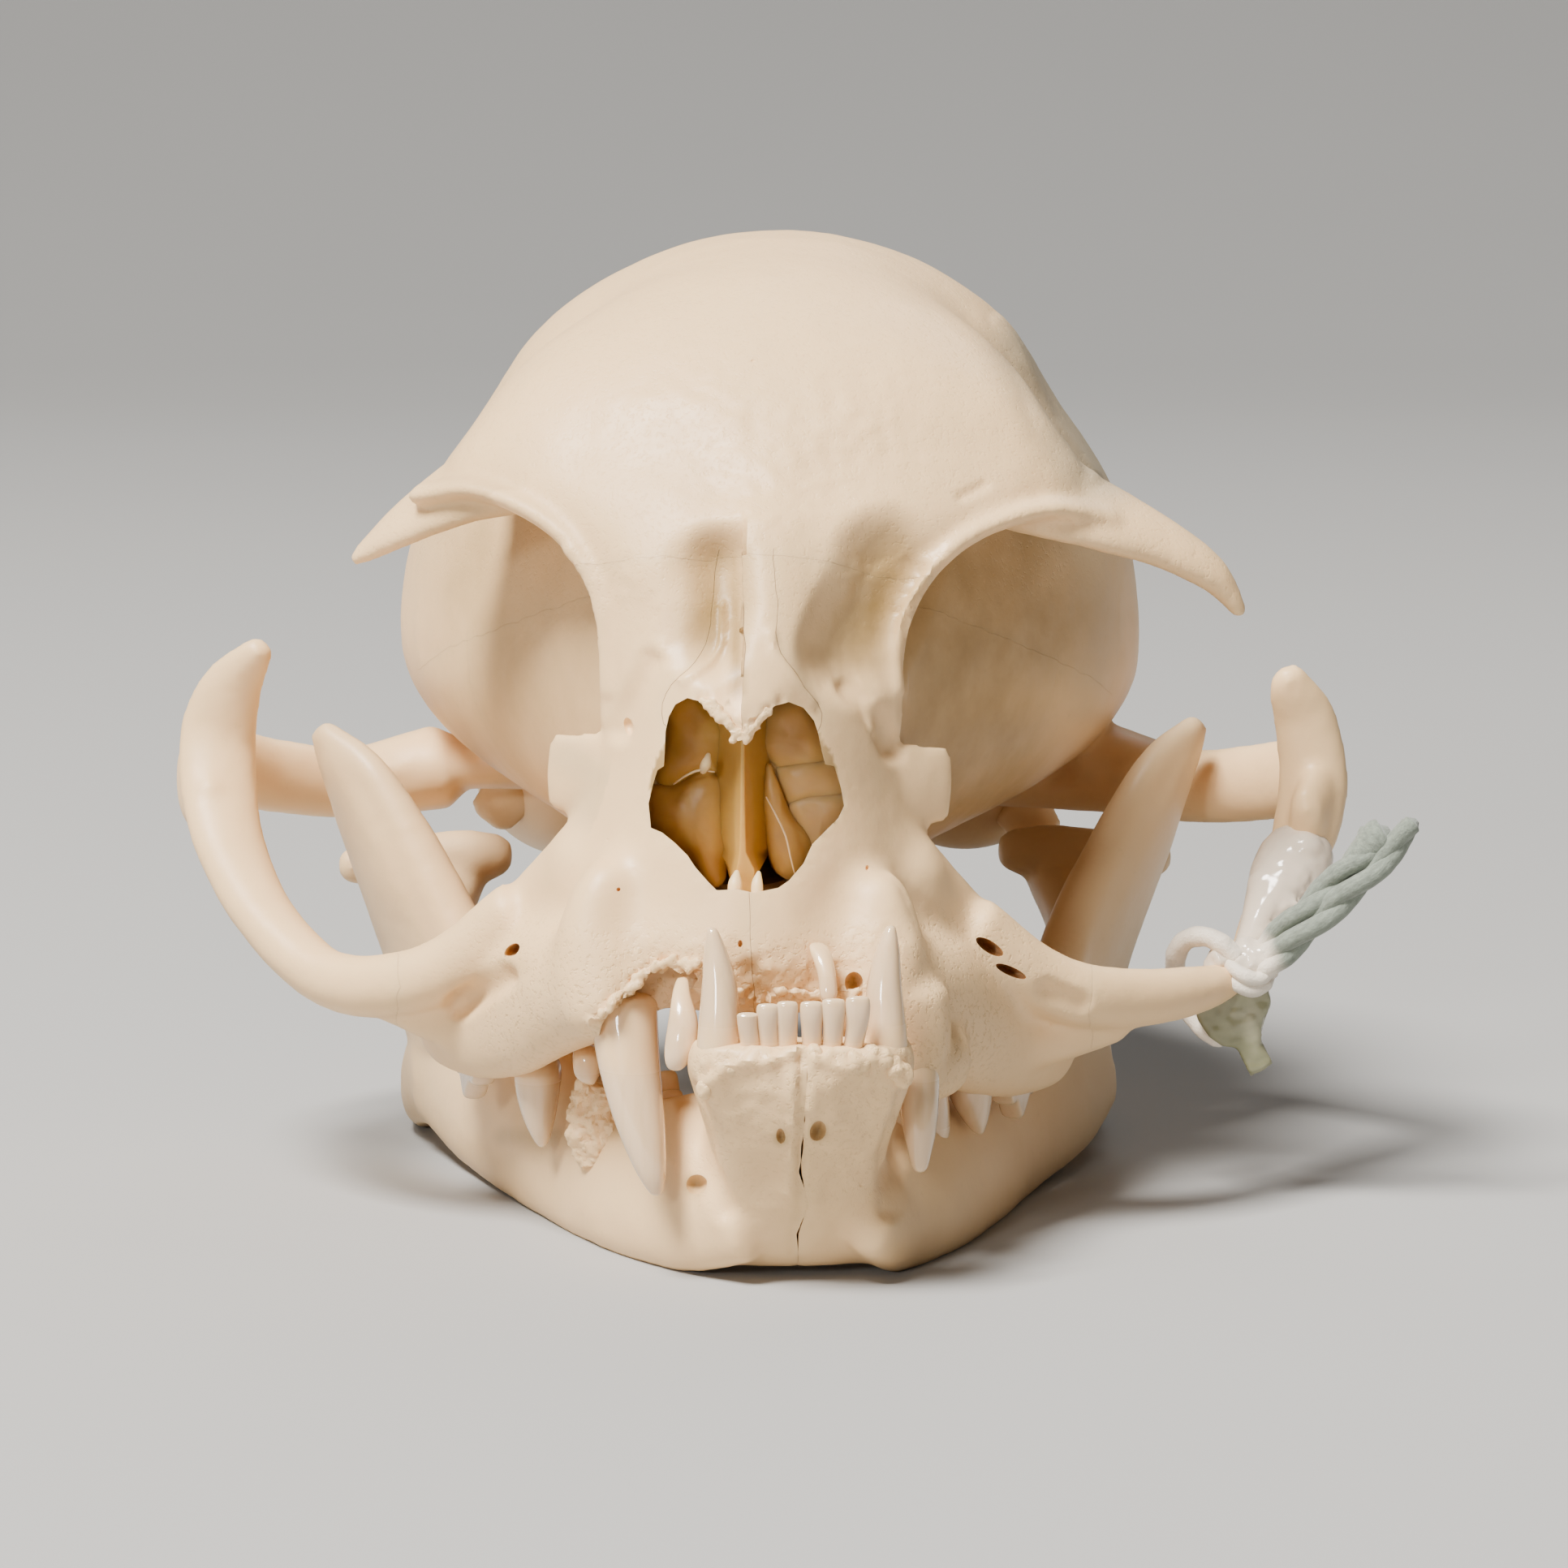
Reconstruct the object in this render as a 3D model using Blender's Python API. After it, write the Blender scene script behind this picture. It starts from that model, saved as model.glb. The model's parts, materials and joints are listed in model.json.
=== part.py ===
"""A life-size brachycephalic cat skull with its lower jaw in place, resting on the jaw.

Sizes are in millimetres in the named values below and become metres when a mesh is made.
+X is the viewer's right (the animal's left), +Y runs to the back of the skull, +Z is up.
Each side is modelled from one set of sizes; SIDES gives its sign and its anatomical name.
"""
import math

import bmesh
import bpy
from mathutils import Matrix, Vector

MM = 0.001
RIGHT, LEFT = -1, 1                     # sign of x for the animal's right and left
SIDES = ((RIGHT, "right"), (LEFT, "left"))
JOINT_GAP = 0.3                         # open line left between neighbouring bones

# The pose: the cranium is turned and rolled a little against the jaw it rests on.
CRANIUM_YAW = 1.6                       # degrees, face towards -X
CRANIUM_ROLL = 1.8                      # degrees, crown towards +X
CRANIUM_PIVOT = (0.0, 50.0, 23.0)
JAW_YAW = -3.4                          # degrees, chin towards +X
JAW_PIVOT = (2.15, 4.0, 0.0)
FRAME_SHIFT = (-1.285, -39.621, 0.0)    # puts the finished part's box over the origin

# Solid building
CORE_VOXEL = 0.8
FINE_VOXEL = 0.55
CORE_SMOOTHING = 12
FINE_SMOOTHING = 3

# Braincase, front to back: y, half width, top, widest height, bottom
BRAINCASE = (
    (15.0, 7.0, 40.6, 31.5, 21.0),
    (20.0, 8.6, 46.0, 31.5, 19.0),
    (26.0, 12.2, 50.8, 32.0, 18.5),
    (32.0, 16.2, 54.0, 32.0, 18.5),
    (38.0, 19.8, 56.0, 32.0, 18.8),
    (44.0, 22.2, 56.9, 31.5, 19.0),
    (50.0, 23.2, 56.5, 31.0, 19.4),
    (56.0, 22.7, 54.8, 30.5, 20.4),
    (62.0, 20.8, 51.4, 30.0, 21.2),
    (68.0, 17.4, 46.8, 30.0, 21.8),
    (73.0, 13.0, 42.0, 30.0, 22.8),
    (75.5, 9.0, 38.6, 30.0, 23.5),
)
# Forehead shield, front to back: y, half width at the rim, rim height, crown height
FOREHEAD = (
    (13.4, 6.4, 38.4, 40.6),
    (16.2, 9.8, 40.5, 44.4),
    (20.0, 14.6, 42.3, 48.8),
    (24.0, 18.9, 43.0, 51.8),
    (28.0, 19.4, 43.6, 53.8),
    (32.0, 17.6, 45.2, 55.2),
    (36.0, 14.4, 47.6, 56.0),
    (41.0, 10.8, 52.4, 56.8),
)
FOREHEAD_THICKNESS = 2.2
CROWN_LEAN = 0.035, 38.0                # the crown's shift towards +X for each mm above this height
FOREHEAD_ROUNDNESS = 2.1
# Face block, bottom to top: z, front, half width, side, back (all but the first as x or y)
FACE = (
    (15.2, 9.0, 8.6, 12.6, 19.0),
    (16.4, 6.9, 10.0, 13.6, 21.0),
    (18.0, 6.2, 11.2, 15.4, 23.0),
    (21.0, 6.9, 11.0, 16.2, 23.0),
    (24.0, 7.8, 10.0, 16.0, 23.0),
    (27.0, 8.5, 9.0, 15.8, 23.0),
    (30.0, 9.0, 8.3, 15.2, 23.0),
    (33.0, 9.9, 8.1, 15.0, 24.0),
    (36.0, 11.4, 8.4, 15.4, 24.0),
    (39.0, 13.0, 9.6, 16.6, 25.0),
    (41.4, 14.8, 12.0, 19.0, 26.0),
)
FACE_ROUNDNESS = 2.3

# Bars: x (outwards), y, z, half size along the wide way, half size across it
ORBIT_RIM = (
    (8.0, 15.6, 30.0, 1.4, 1.1),
    (8.2, 15.4, 35.0, 1.5, 1.2),
    (9.4, 16.0, 38.6, 1.6, 1.3),
    (12.4, 18.2, 41.2, 1.6, 1.4),
    (16.8, 21.2, 42.2, 1.7, 1.4),
    (20.0, 24.5, 41.6, 2.0, 1.5),
)
POSTORBITAL_RIGHT = (
    (13.4, 25.0, 43.4, 3.8, 2.4),
    (17.8, 25.8, 42.0, 3.0, 2.0),
    (20.8, 26.4, 39.8, 1.6, 1.3),
    (23.6, 27.0, 37.4, 0.6, 0.6),
)
POSTORBITAL_LEFT = (
    (14.4, 25.0, 43.4, 3.8, 2.4),
    (20.0, 25.4, 42.1, 2.9, 2.0),
    (23.8, 26.3, 40.6, 1.9, 1.5),
    (26.5, 26.8, 38.8, 1.5, 1.3),
    (28.0, 27.0, 36.8, 0.6, 0.6),
)
NASAL_BRIDGE = (
    (0.0, 15.6, 41.0, 4.6, 2.4),
    (0.0, 12.6, 37.2, 3.6, 2.0),
    (0.0, 10.4, 33.6, 3.2, 1.5),
    (0.0, 9.2, 31.6, 2.2, 0.9),
)
CANINE_RIDGE = (
    (7.2, 9.0, 14.6, 2.8, 2.8),
    (8.0, 9.6, 18.0, 2.6, 2.4),
    (7.6, 10.6, 22.0, 1.8, 2.0),
)
CHEEK = (
    (8.0, 10.4, 15.8, 3.2, 2.8),
    (10.8, 14.0, 14.8, 4.0, 2.4),
    (13.2, 18.0, 13.2, 4.4, 2.2),
    (16.0, 23.0, 12.0, 4.3, 2.1),
    (18.0, 27.5, 11.8, 3.9, 1.9),
    (17.8, 31.5, 13.2, 2.4, 1.6),
)
ORBIT_FLOOR = (
    (8.6, 15.0, 22.0, 3.2, 2.4),
    (10.4, 17.6, 19.6, 3.2, 2.2),
    (13.0, 19.4, 17.4, 2.6, 2.0),
    (16.2, 20.6, 15.8, 2.2, 1.8),
)
LACRIMAL_FLANGE = (
    (8.6, 16.0, 26.9, 2.6, 0.9),
    (11.1, 17.6, 26.8, 2.2, 0.7),
)
PALATE = (
    (0.0, 8.0, 16.4, 5.0, 1.4),
    (0.0, 14.0, 15.6, 9.0, 1.4),
    (0.0, 21.0, 15.4, 13.0, 1.4),
    (0.0, 28.0, 15.8, 15.0, 1.4),
    (0.0, 33.0, 16.2, 9.0, 1.4),
)
PALATINE_WALL = (
    (7.0, 18.0, 20.0, 5.0, 1.8),
    (7.4, 26.0, 19.0, 4.0, 1.7),
    (6.6, 34.0, 18.4, 3.4, 1.4),
    (6.0, 42.0, 18.2, 3.0, 1.2),
    (6.6, 47.0, 17.2, 2.4, 1.0),
)
ARCH_FRONT_RIGHT = (
    (12.6, 18.0, 18.2, 2.6, 2.0),
    (16.4, 19.4, 15.4, 2.0, 1.9),
    (20.0, 21.0, 13.7, 1.9, 1.8),
    (24.4, 24.4, 13.2, 2.0, 1.7),
    (28.6, 28.4, 15.9, 2.1, 1.6),
    (31.6, 32.6, 20.1, 2.3, 1.5),
    (32.7, 35.8, 24.9, 2.4, 1.4),
    (32.0, 35.6, 28.5, 2.0, 1.2),
    (30.0, 34.0, 31.4, 0.9, 0.8),
)
ARCH_FRONT_LEFT = (
    (12.6, 18.0, 18.2, 2.6, 2.0),
    (16.4, 19.4, 15.8, 2.0, 1.9),
    (20.0, 21.0, 14.4, 1.9, 1.8),
    (24.8, 24.8, 14.0, 1.6, 1.6),
    (28.6, 29.2, 14.6, 1.1, 1.1),
    (30.4, 32.2, 17.8, 1.1, 1.1),
    (32.4, 34.8, 21.6, 2.0, 1.4),
    (33.2, 36.0, 26.0, 2.1, 1.4),
    (32.6, 35.4, 29.4, 1.8, 1.2),
    (31.6, 34.4, 31.8, 0.8, 0.8),
)
ARCH_LOWER_ROOT = (
    (14.2, 20.6, 11.8, 2.6, 1.8),
    (17.6, 22.2, 12.0, 2.0, 1.7),
    (21.6, 23.4, 12.9, 1.5, 1.4),
)
ARCH_BACK = (
    (32.8, 33.4, 22.6, 2.2, 1.1),
    (33.9, 36.4, 23.8, 3.0, 1.3),
    (34.2, 40.0, 24.3, 2.9, 1.3),
    (33.0, 43.8, 23.9, 2.7, 1.4),
    (30.4, 47.4, 22.9, 2.6, 1.6),
    (26.2, 50.5, 22.2, 2.5, 2.2),
    (20.6, 52.0, 23.2, 3.0, 3.2),
)
GLENOID = (
    (14.4, 51.8, 22.4, 1.5, 2.4),
    (19.0, 52.0, 22.3, 1.5, 2.9),
    (25.4, 50.6, 22.0, 1.3, 2.2),
)
POSTGLENOID = ((16.0, 54.6, 20.8, 2.0, 1.2), (17.6, 54.8, 18.6, 1.6, 0.9))
BULLA_RADII, BULLA_TURN = (6.4, 9.2, 6.0), 14.0
BULLA_RIGHT, BULLA_LEFT = (12.8, 61.0, 21.4), (12.8, 61.0, 22.8)
BULLA_BED = (13.2, 60.0, 25.0), (8.0, 11.0, 3.4)
NUCHAL_CREST = (
    (17.2, 67.6, 25.4, 1.8, 1.2),
    (15.6, 70.0, 31.6, 1.6, 1.2),
    (11.4, 72.8, 37.2, 1.6, 1.2),
    (5.0, 74.6, 40.6, 1.6, 1.2),
    (0.0, 75.0, 41.4, 1.6, 1.2),
)
OCCIPITAL_PLATE = (0.0, 71.6, 29.4), (15.8, 4.4, 11.0)
OCCIPITAL_CONDYLE = (6.4, 74.6, 20.6), (3.2, 3.8, 4.6)
BASIOCCIPITAL = (0.0, 64.0, 21.4), (6.6, 13.0, 2.6)
PARAOCCIPITAL = ((13.6, 70.0, 22.0, 2.2, 1.6), (13.4, 70.8, 16.6, 1.1, 0.9))

# Hollows: centre, half sizes, turn about Z in degrees (back end outwards)
ORBIT_HOLLOW = (17.6, 24.0, 33.0), (10.4, 20.0, 9.4), 24.0
FORAMEN_MAGNUM = (0.0, 75.6, 26.6), (6.4, 7.5, 5.2)
# Nasal opening outline: x, z of one half, top to bottom, then where it starts and ends in y
NASAL_OPENING = (
    (0.0, 30.3), (1.3, 31.5), (2.8, 32.4), (3.9, 31.8), (4.4, 30.2), (4.9, 28.4),
    (5.4, 27.0), (5.2, 26.0), (4.3, 24.9), (3.4, 23.9), (2.5, 22.9), (1.6, 22.2), (0.0, 22.0),
)
NASAL_DEPTH = (2.0, 24.0)
SEPTUM = (0.0, 16.5, 26.8), (0.9, 7.4, 6.4)
TURBINATE = (2.6, 17.5, 27.0), (2.6, 6.0, 4.6)

# Lower jaw bars, and the chin bottom to top: z, half width, front, back
JAW_BODY = (
    (3.0, 8.0, 6.2, 5.2, 2.1),
    (5.8, 11.4, 4.9, 5.1, 2.1),
    (8.9, 16.2, 4.2, 4.6, 2.1),
    (11.7, 23.0, 4.2, 4.6, 2.2),
    (14.5, 31.0, 5.0, 5.3, 2.3),
    (17.0, 38.0, 6.4, 6.2, 2.0),
    (19.6, 44.0, 7.6, 5.8, 1.8),
)
JAW_LEAN = {RIGHT: (-0.22, 0, 1), LEFT: (-0.42, 0, 1)}   # the tall way of the jaw's body
JAW_SHIFT = {RIGHT: (0.0, 0.0), LEFT: (-1.0, -0.35)}     # its middle, inwards and down
CHIN = (
    (0.6, 3.4, 9.6, 13.0),
    (1.8, 4.4, 7.4, 13.0),
    (4.0, 4.5, 5.6, 11.5),
    (6.5, 4.7, 4.0, 9.5),
    (9.0, 5.1, 2.4, 8.0),
    (11.2, 5.7, 1.4, 7.0),
    (13.0, 5.9, 1.0, 6.2),
    (14.4, 5.4, 1.2, 5.0),
)
RAMUS = (
    (19.2, 40.8, 7.6, 6.8, 1.5),
    (21.2, 42.0, 13.0, 5.8, 1.4),
    (23.6, 42.4, 18.6, 4.0, 1.3),
    (25.8, 43.2, 23.4, 2.6, 1.2),
    (27.0, 44.2, 26.8, 1.3, 1.0),
)
RAMUS_FRONT = (
    (16.8, 34.6, 9.6, 1.8, 1.6),
    (18.2, 37.0, 14.0, 1.6, 1.5),
    (20.8, 39.0, 19.0, 1.5, 1.4),
    (23.8, 41.2, 24.0, 1.3, 1.3),
    (26.8, 43.6, 27.0, 1.0, 1.0),
)
CONDYLE_NECK = (
    (19.6, 45.4, 8.0, 3.6, 1.6),
    (20.0, 47.8, 12.4, 3.0, 1.7),
    (19.8, 49.8, 16.0, 2.0, 2.8),
)
CONDYLE = (
    (16.0, 50.4, 17.6, 1.2, 1.4),
    (18.4, 50.2, 17.5, 1.6, 1.8),
    (22.0, 49.8, 17.3, 1.5, 1.7),
    (25.6, 49.2, 17.2, 1.0, 1.2),
)
ANGULAR_PROCESS = (
    (19.8, 43.6, 5.6, 4.2, 1.9),
    (21.0, 48.6, 3.4, 2.7, 1.5),
    (21.0, 52.6, 1.1, 1.4, 1.1),
    (21.2, 54.8, 1.2, 0.8, 0.7),
)

SYMPHYSIS_CORNERS = ((0, -10, -5), (0, 30, -5), (0, 30, 40), (0, -10, 40))
TABLE_CORNERS = ((-60, -20), (60, -20), (60, 90), (-60, 90))

# Teeth, root to tip: x, y, z and the two half widths
UPPER_CANINE_RIGHT = (
    (6.3, 9.4, 16.0, 1.9, 1.8),
    (6.0, 8.6, 12.8, 1.9, 1.8),
    (5.2, 7.5, 9.2, 1.5, 1.4),
    (4.4, 6.8, 6.3, 0.9, 0.9),
    (4.0, 6.6, 4.9, 0.3, 0.3),
)
UPPER_CANINE_LEFT = (
    (9.8, 9.6, 16.0, 1.8, 1.8),
    (10.7, 8.3, 12.8, 1.6, 1.6),
    (11.4, 7.0, 9.4, 1.3, 1.3),
    (11.6, 6.3, 6.6, 0.5, 0.5),
)
LOWER_CANINE = (
    (4.7, 3.6, 12.0, 1.4, 1.4),
    (4.6, 3.6, 14.6, 1.25, 1.3),
    (4.5, 4.0, 17.4, 0.9, 0.95),
    (4.9, 4.4, 20.4, 0.3, 0.3),
)
UPPER_INCISOR = (
    (-2.9, 6.6, 17.4, 0.6, 0.6),
    (-2.9, 5.8, 14.6, 1.1, 0.8),
    (-2.9, 5.4, 12.7, 0.4, 0.4),
)
INCISOR_PLACES = (0.65, 1.85, 3.05)
INCISOR = ((2.3, 13.6, 0.55, 0.7), (2.0, 15.4, 0.5, 0.55), (1.9, 17.1, 0.45, 0.35))
# Cheek teeth: x, y and z of the neck, half length along the row, height of the crown
UPPER_TEETH_RIGHT = ((9.4, 15.0, 11.4, 0.8, 1.9), (13.0, 19.2, 9.8, 1.5, 3.8), (15.8, 24.6, 9.0, 2.6, 2.8))
UPPER_TEETH_LEFT = ((15.6, 19.2, 9.8, 1.5, 3.6), (17.8, 24.6, 9.0, 2.6, 2.8))
LOWER_CHEEK_TEETH = ((7.0, 15.6, 8.2, 1.2, 2.4), (9.2, 21.4, 8.2, 1.6, 2.8), (11.4, 27.8, 9.0, 1.9, 3.2))
CHEEK_TOOTH_THICKNESS = 0.9

# The repair on the left arch: glue along the break, and the string tied round it
GLUE = (
    (29.0, 30.4, 15.4, 1.8, 1.8),
    (29.8, 31.8, 17.6, 2.2, 2.0),
    (30.8, 33.2, 19.8, 2.2, 1.9),
    (31.8, 34.4, 22.0, 1.6, 1.4),
)
GLUE_TAIL = (
    (29.0, 28.8, 13.6, 1.5, 0.9),
    (28.7, 28.8, 11.6, 1.7, 0.8),
    (29.2, 28.9, 9.8, 1.1, 0.7),
    (29.8, 29.0, 8.2, 0.9, 0.7),
)
KNOT = (29.2, 28.6, 15.0), (1.7, 1.8, 1.5)
STRING_TAIL_LOWER = (
    (29.2, 28.2, 14.6, 0.8, 0.8),
    (31.4, 27.6, 16.6, 0.85, 0.85),
    (33.8, 27.3, 18.6, 0.85, 0.85),
    (36.0, 27.3, 20.9, 0.85, 0.85),
    (38.3, 27.6, 23.6, 0.8, 0.8),
)
STRING_TAIL_UPPER = (
    (29.6, 28.2, 15.8, 0.8, 0.8),
    (31.6, 27.6, 18.1, 0.85, 0.85),
    (33.6, 27.4, 20.0, 0.85, 0.85),
    (35.2, 27.4, 21.5, 0.9, 0.9),
    (36.2, 27.6, 22.7, 1.0, 0.9),
)
STRING_LOOP = (
    (28.6, 28.6, 16.2, 0.6, 0.6),
    (26.9, 28.4, 17.3, 0.6, 0.6),
    (25.3, 28.6, 17.1, 0.6, 0.6),
    (24.6, 29.2, 15.7, 0.6, 0.6),
    (24.9, 29.6, 13.8, 0.6, 0.6),
    (25.8, 29.4, 12.0, 0.6, 0.6),
    (27.4, 29.0, 10.8, 0.6, 0.6),
    (28.6, 28.8, 10.4, 0.6, 0.6),
)

# Thin cuts between the bones, in the cranium's straight frame: y and z of the seam's corners
BROW_FRONT, BROW_BACK, BROW_MIDDLE = (8.0, 41.8), (42.0, 29.5), (34.4, 32.25)
CORONAL_TOP, FACE_BACK_FOOT = (46.0, 62.0), (34.4, 8.0)
FACE_FRONT_FOOT, FACE_FRONT_TOP = (3.0, 8.0), (3.0, 43.6)
OCCIPITAL_FOOT, OCCIPITAL_TOP = (70.6, 10.0), (69.4, 50.0)
NASAL_BACK_FOOT, NASAL_BACK_TOP = (13.0, 28.0), (16.6, 38.7)
NASAL_FRONT_FOOT, NASAL_FRONT_TOP = (4.0, 28.0), (4.0, 43.2)
NASAL_HALF_WIDTH = 2.9
BROW_HALF_WIDTH, CORONAL_HALF_WIDTH = 27.4, 30.0
FACE_HALF_WIDTH, OCCIPITAL_HALF_WIDTH = 21.0, 26.0
# x and y of the zygomatic cuts, and the heights between which they run
ZYGOMATIC_ROOT, ZYGOMATIC_ROOT_HEIGHTS = ((19.5, 14.0), (21.0, 32.0)), (8.0, 21.0)
ZYGOMATIC_END, ZYGOMATIC_END_HEIGHTS = ((26.0, 42.6), (40.0, 40.4)), (16.0, 31.0)
# A point inside each bone of the parted cranium; a side bone's point is mirrored for its pair
MIDDLE_BONES = {
    "frontal": (0.0, 30.0, 50.0), "braincase": (0.0, 55.0, 40.0), "occipital": (0.0, 75.0, 36.0),
}
SIDE_BONES = {"nasal": (1.5, 13.0, 36.0), "maxilla": (10.0, 20.0, 20.0), "zygomatic": (33.0, 36.0, 24.0)}

# Triangles kept on each finished skin
CRANIUM_TRIANGLES = 3300
JAW_TRIANGLES = 500
BULLA_SEGMENTS = 12
BULLA_GAP = 0.6
STRING_VOXEL = 0.35
STRING_TRIANGLES = 400
SEPTUM_TRIANGLES = 200

# Colours: base colour and roughness
BONE = (0.80, 0.73, 0.60), 0.5
BONE_FACE = (0.84, 0.78, 0.67), 0.48
BONE_JAW = (0.82, 0.77, 0.65), 0.45
ENAMEL = (0.86, 0.82, 0.72), 0.18
NASAL_TAN = (0.62, 0.46, 0.20), 0.5
CLEAR_GLUE = (0.86, 0.84, 0.76), 0.15
STRING = (0.52, 0.58, 0.56), 0.9
FINISHES = {
    "frontal": BONE_FACE, "nasal": BONE_FACE, "maxilla": BONE_FACE, "zygomatic": BONE,
    "braincase": BONE, "occipital": BONE, "bulla": BONE, "nasal_septum": NASAL_TAN,
    "mandible": BONE_JAW, "upper_canine": ENAMEL, "lower_canine": ENAMEL,
    "glue_repair": CLEAR_GLUE, "string_tie": STRING,
}


def dense(rows, steps):
    """More rows on a smooth curve through rows of numbers (Catmull-Rom)."""
    first = [2 * a - b for a, b in zip(rows[0], rows[1])]
    last = [2 * a - b for a, b in zip(rows[-1], rows[-2])]
    rows = [first, *rows, last]
    curve = []
    for quad in zip(rows, rows[1:], rows[2:], rows[3:]):
        for step in range(steps):
            t = step / steps
            curve.append([0.5 * (2 * b + (c - a) * t + (2 * a - 5 * b + 4 * c - d) * t * t
                                 + (3 * b - a - 3 * c + d) * t ** 3) for a, b, c, d in zip(*quad)])
    curve.append(list(rows[-2]))
    return curve


def add_shell(mesh, rings):
    """Close a stack of rings of equal count into one body of the bmesh."""
    rows = [[mesh.verts.new(Vector(p) * MM) for p in ring] for ring in rings]
    count = len(rows[0])
    for low, high in zip(rows, rows[1:]):
        for i in range(count):
            j = (i + 1) % count
            mesh.faces.new((low[i], low[j], high[j], high[i]))
    mesh.faces.new(rows[0][::-1])
    mesh.faces.new(rows[-1])


def bar_sections(stations, wide, steps):
    """Centre, two cross ways and two half sizes along a bar, with both ends rounded off."""
    curve = dense(stations, steps)
    last = len(curve) - 1
    wide = Vector(wide)
    sections = []
    for i, (x, y, z, a, b) in enumerate(curve):
        ahead = Vector(curve[min(i + 1, last)][:3]) - Vector(curve[max(i - 1, 0)][:3])
        ahead.normalize()
        across = (wide - ahead * wide.dot(ahead)).normalized()
        centre = Vector((x, y, z))
        section = (centre, across, ahead.cross(across), a, b)
        tip = (section[1], section[2], 0.6 * a, 0.6 * b)
        if i == 0:
            sections.append((centre - ahead * 0.5 * b, *tip))
        sections.append(section)
        if i == last:
            sections.append((centre + ahead * 0.5 * b, *tip))
    return sections


def add_bar(mesh, stations, wide, side=1, sides=12, steps=3):
    """A rounded bar swept through the stations, its wide half size along the given way."""
    rings = []
    for centre, across, thin, a, b in bar_sections(stations, wide, steps):
        ring = []
        for k in range(sides):
            angle = math.tau * k / sides
            point = centre + across * a * math.cos(angle) + thin * b * math.sin(angle)
            ring.append((point.x * side, point.y, point.z))
        rings.append(ring)
    add_shell(mesh, rings)


def add_ball(mesh, centre, radii, side=1, turn=0.0, segments=24):
    """An ellipsoid, turned about Z so that its back end swings outwards."""
    place = (Matrix.Translation(Vector((centre[0] * side, centre[1], centre[2])) * MM)
             @ Matrix.Rotation(math.radians(-turn * side), 4, "Z")
             @ Matrix.Diagonal((*[r * MM for r in radii], 1.0)))
    bmesh.ops.create_uvsphere(mesh, u_segments=segments, v_segments=segments // 2,
                              radius=1.0, matrix=place)


def leaning(points):
    """The points with everything above the brow shifted a little to one side."""
    shift, start = CROWN_LEAN
    return [(x + shift * max(0.0, z - start), y, z) for x, y, z in points]


def egg_ring(y, half_width, top, middle, bottom, count=32):
    """A cross-section of the braincase at y."""
    ring = []
    for k in range(count):
        angle = math.tau * k / count
        reach = top - middle if math.sin(angle) > 0 else middle - bottom
        ring.append((half_width * math.cos(angle), y, middle + reach * math.sin(angle)))
    return leaning(ring)


def shield_ring(y, half_width, rim, crown, count=16):
    """A cross-section of the forehead at y: domed above, hollow towards the orbits below."""
    upper, lower = [], []
    for k in range(count + 1):
        x = -half_width * math.cos(math.pi * k / count)
        dome = max(0.0, 1.0 - abs(x / half_width) ** FOREHEAD_ROUNDNESS) ** 0.75
        upper.append((x, y, rim + (crown - rim) * dome))
        if 0 < k < count:
            lower.append((x, y, rim - FOREHEAD_THICKNESS * (0.35 + 0.65 * dome)))
    return leaning(upper + lower[::-1])


def face_ring(z, front, half_width, side, back, count=16):
    """A level section of the face: a bowed front between the orbit rims, and a flat back."""
    ring = []
    for k in range(count + 1):
        x = -half_width * math.cos(math.pi * k / count)
        ring.append((x, front + (side - front) * abs(x / half_width) ** FACE_ROUNDNESS, z))
    ring += [(0.94 * half_width, 0.5 * (side + back), z), (0.8 * half_width, back, z)]
    return ring + [(-x, y, z) for x, y, z in ring[:-3:-1]]


def chin_ring(z, half_width, front, back, count=10):
    """A level section of one half of the chin, from the midline outwards."""
    ring = [(-0.5, back, z), (-0.5, front, z)]
    for k in range(count + 1):
        angle = 0.5 * math.pi * k / count
        ring.append((half_width * math.sin(angle), back - (back - front) * math.cos(angle) ** 0.45, z))
    return ring


def solid(name, mesh):
    """A finished bmesh as an object, with its faces turned outwards."""
    bmesh.ops.recalc_face_normals(mesh, faces=mesh.faces)
    data = bpy.data.meshes.new(name)
    mesh.to_mesh(data)
    mesh.free()
    piece = bpy.data.objects.new(name, data)
    bpy.context.scene.collection.objects.link(piece)
    return piece


def settle(piece):
    """Replace the mesh by what its modifiers make of it."""
    bpy.context.view_layer.update()
    evaluated = piece.evaluated_get(bpy.context.evaluated_depsgraph_get())
    data = bpy.data.meshes.new_from_object(evaluated)
    piece.modifiers.clear()
    old = piece.data
    piece.data = data
    bpy.data.meshes.remove(old)
    return piece


def blend(piece, voxel, smoothing):
    """Melt the overlapping forms of a piece into one skin."""
    remesh = piece.modifiers.new("one skin", "REMESH")
    remesh.mode = "VOXEL"
    remesh.voxel_size = voxel * MM
    relax = piece.modifiers.new("soften", "SMOOTH")
    relax.factor = 0.5
    relax.iterations = smoothing
    return settle(piece)


def thin_out(piece, triangles):
    """Bring a piece down to about this many triangles."""
    piece.data.calc_loop_triangles()
    decimate = piece.modifiers.new("fewer faces", "DECIMATE")
    decimate.ratio = min(1.0, triangles / len(piece.data.loop_triangles))
    decimate.use_collapse_triangulate = True
    return settle(piece)


def copy_of(piece, name):
    twin = bpy.data.objects.new(name, piece.data.copy())
    bpy.context.scene.collection.objects.link(twin)
    return twin


def combine(piece, tool, operation):
    """Cut, join or keep the common part of two closed pieces; the tool is used up."""
    boolean = piece.modifiers.new(operation.lower(), "BOOLEAN")
    boolean.solver = "EXACT"
    boolean.operation = operation
    boolean.use_self = True
    boolean.object = tool
    settle(piece)
    bpy.data.objects.remove(tool)
    return piece


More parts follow.
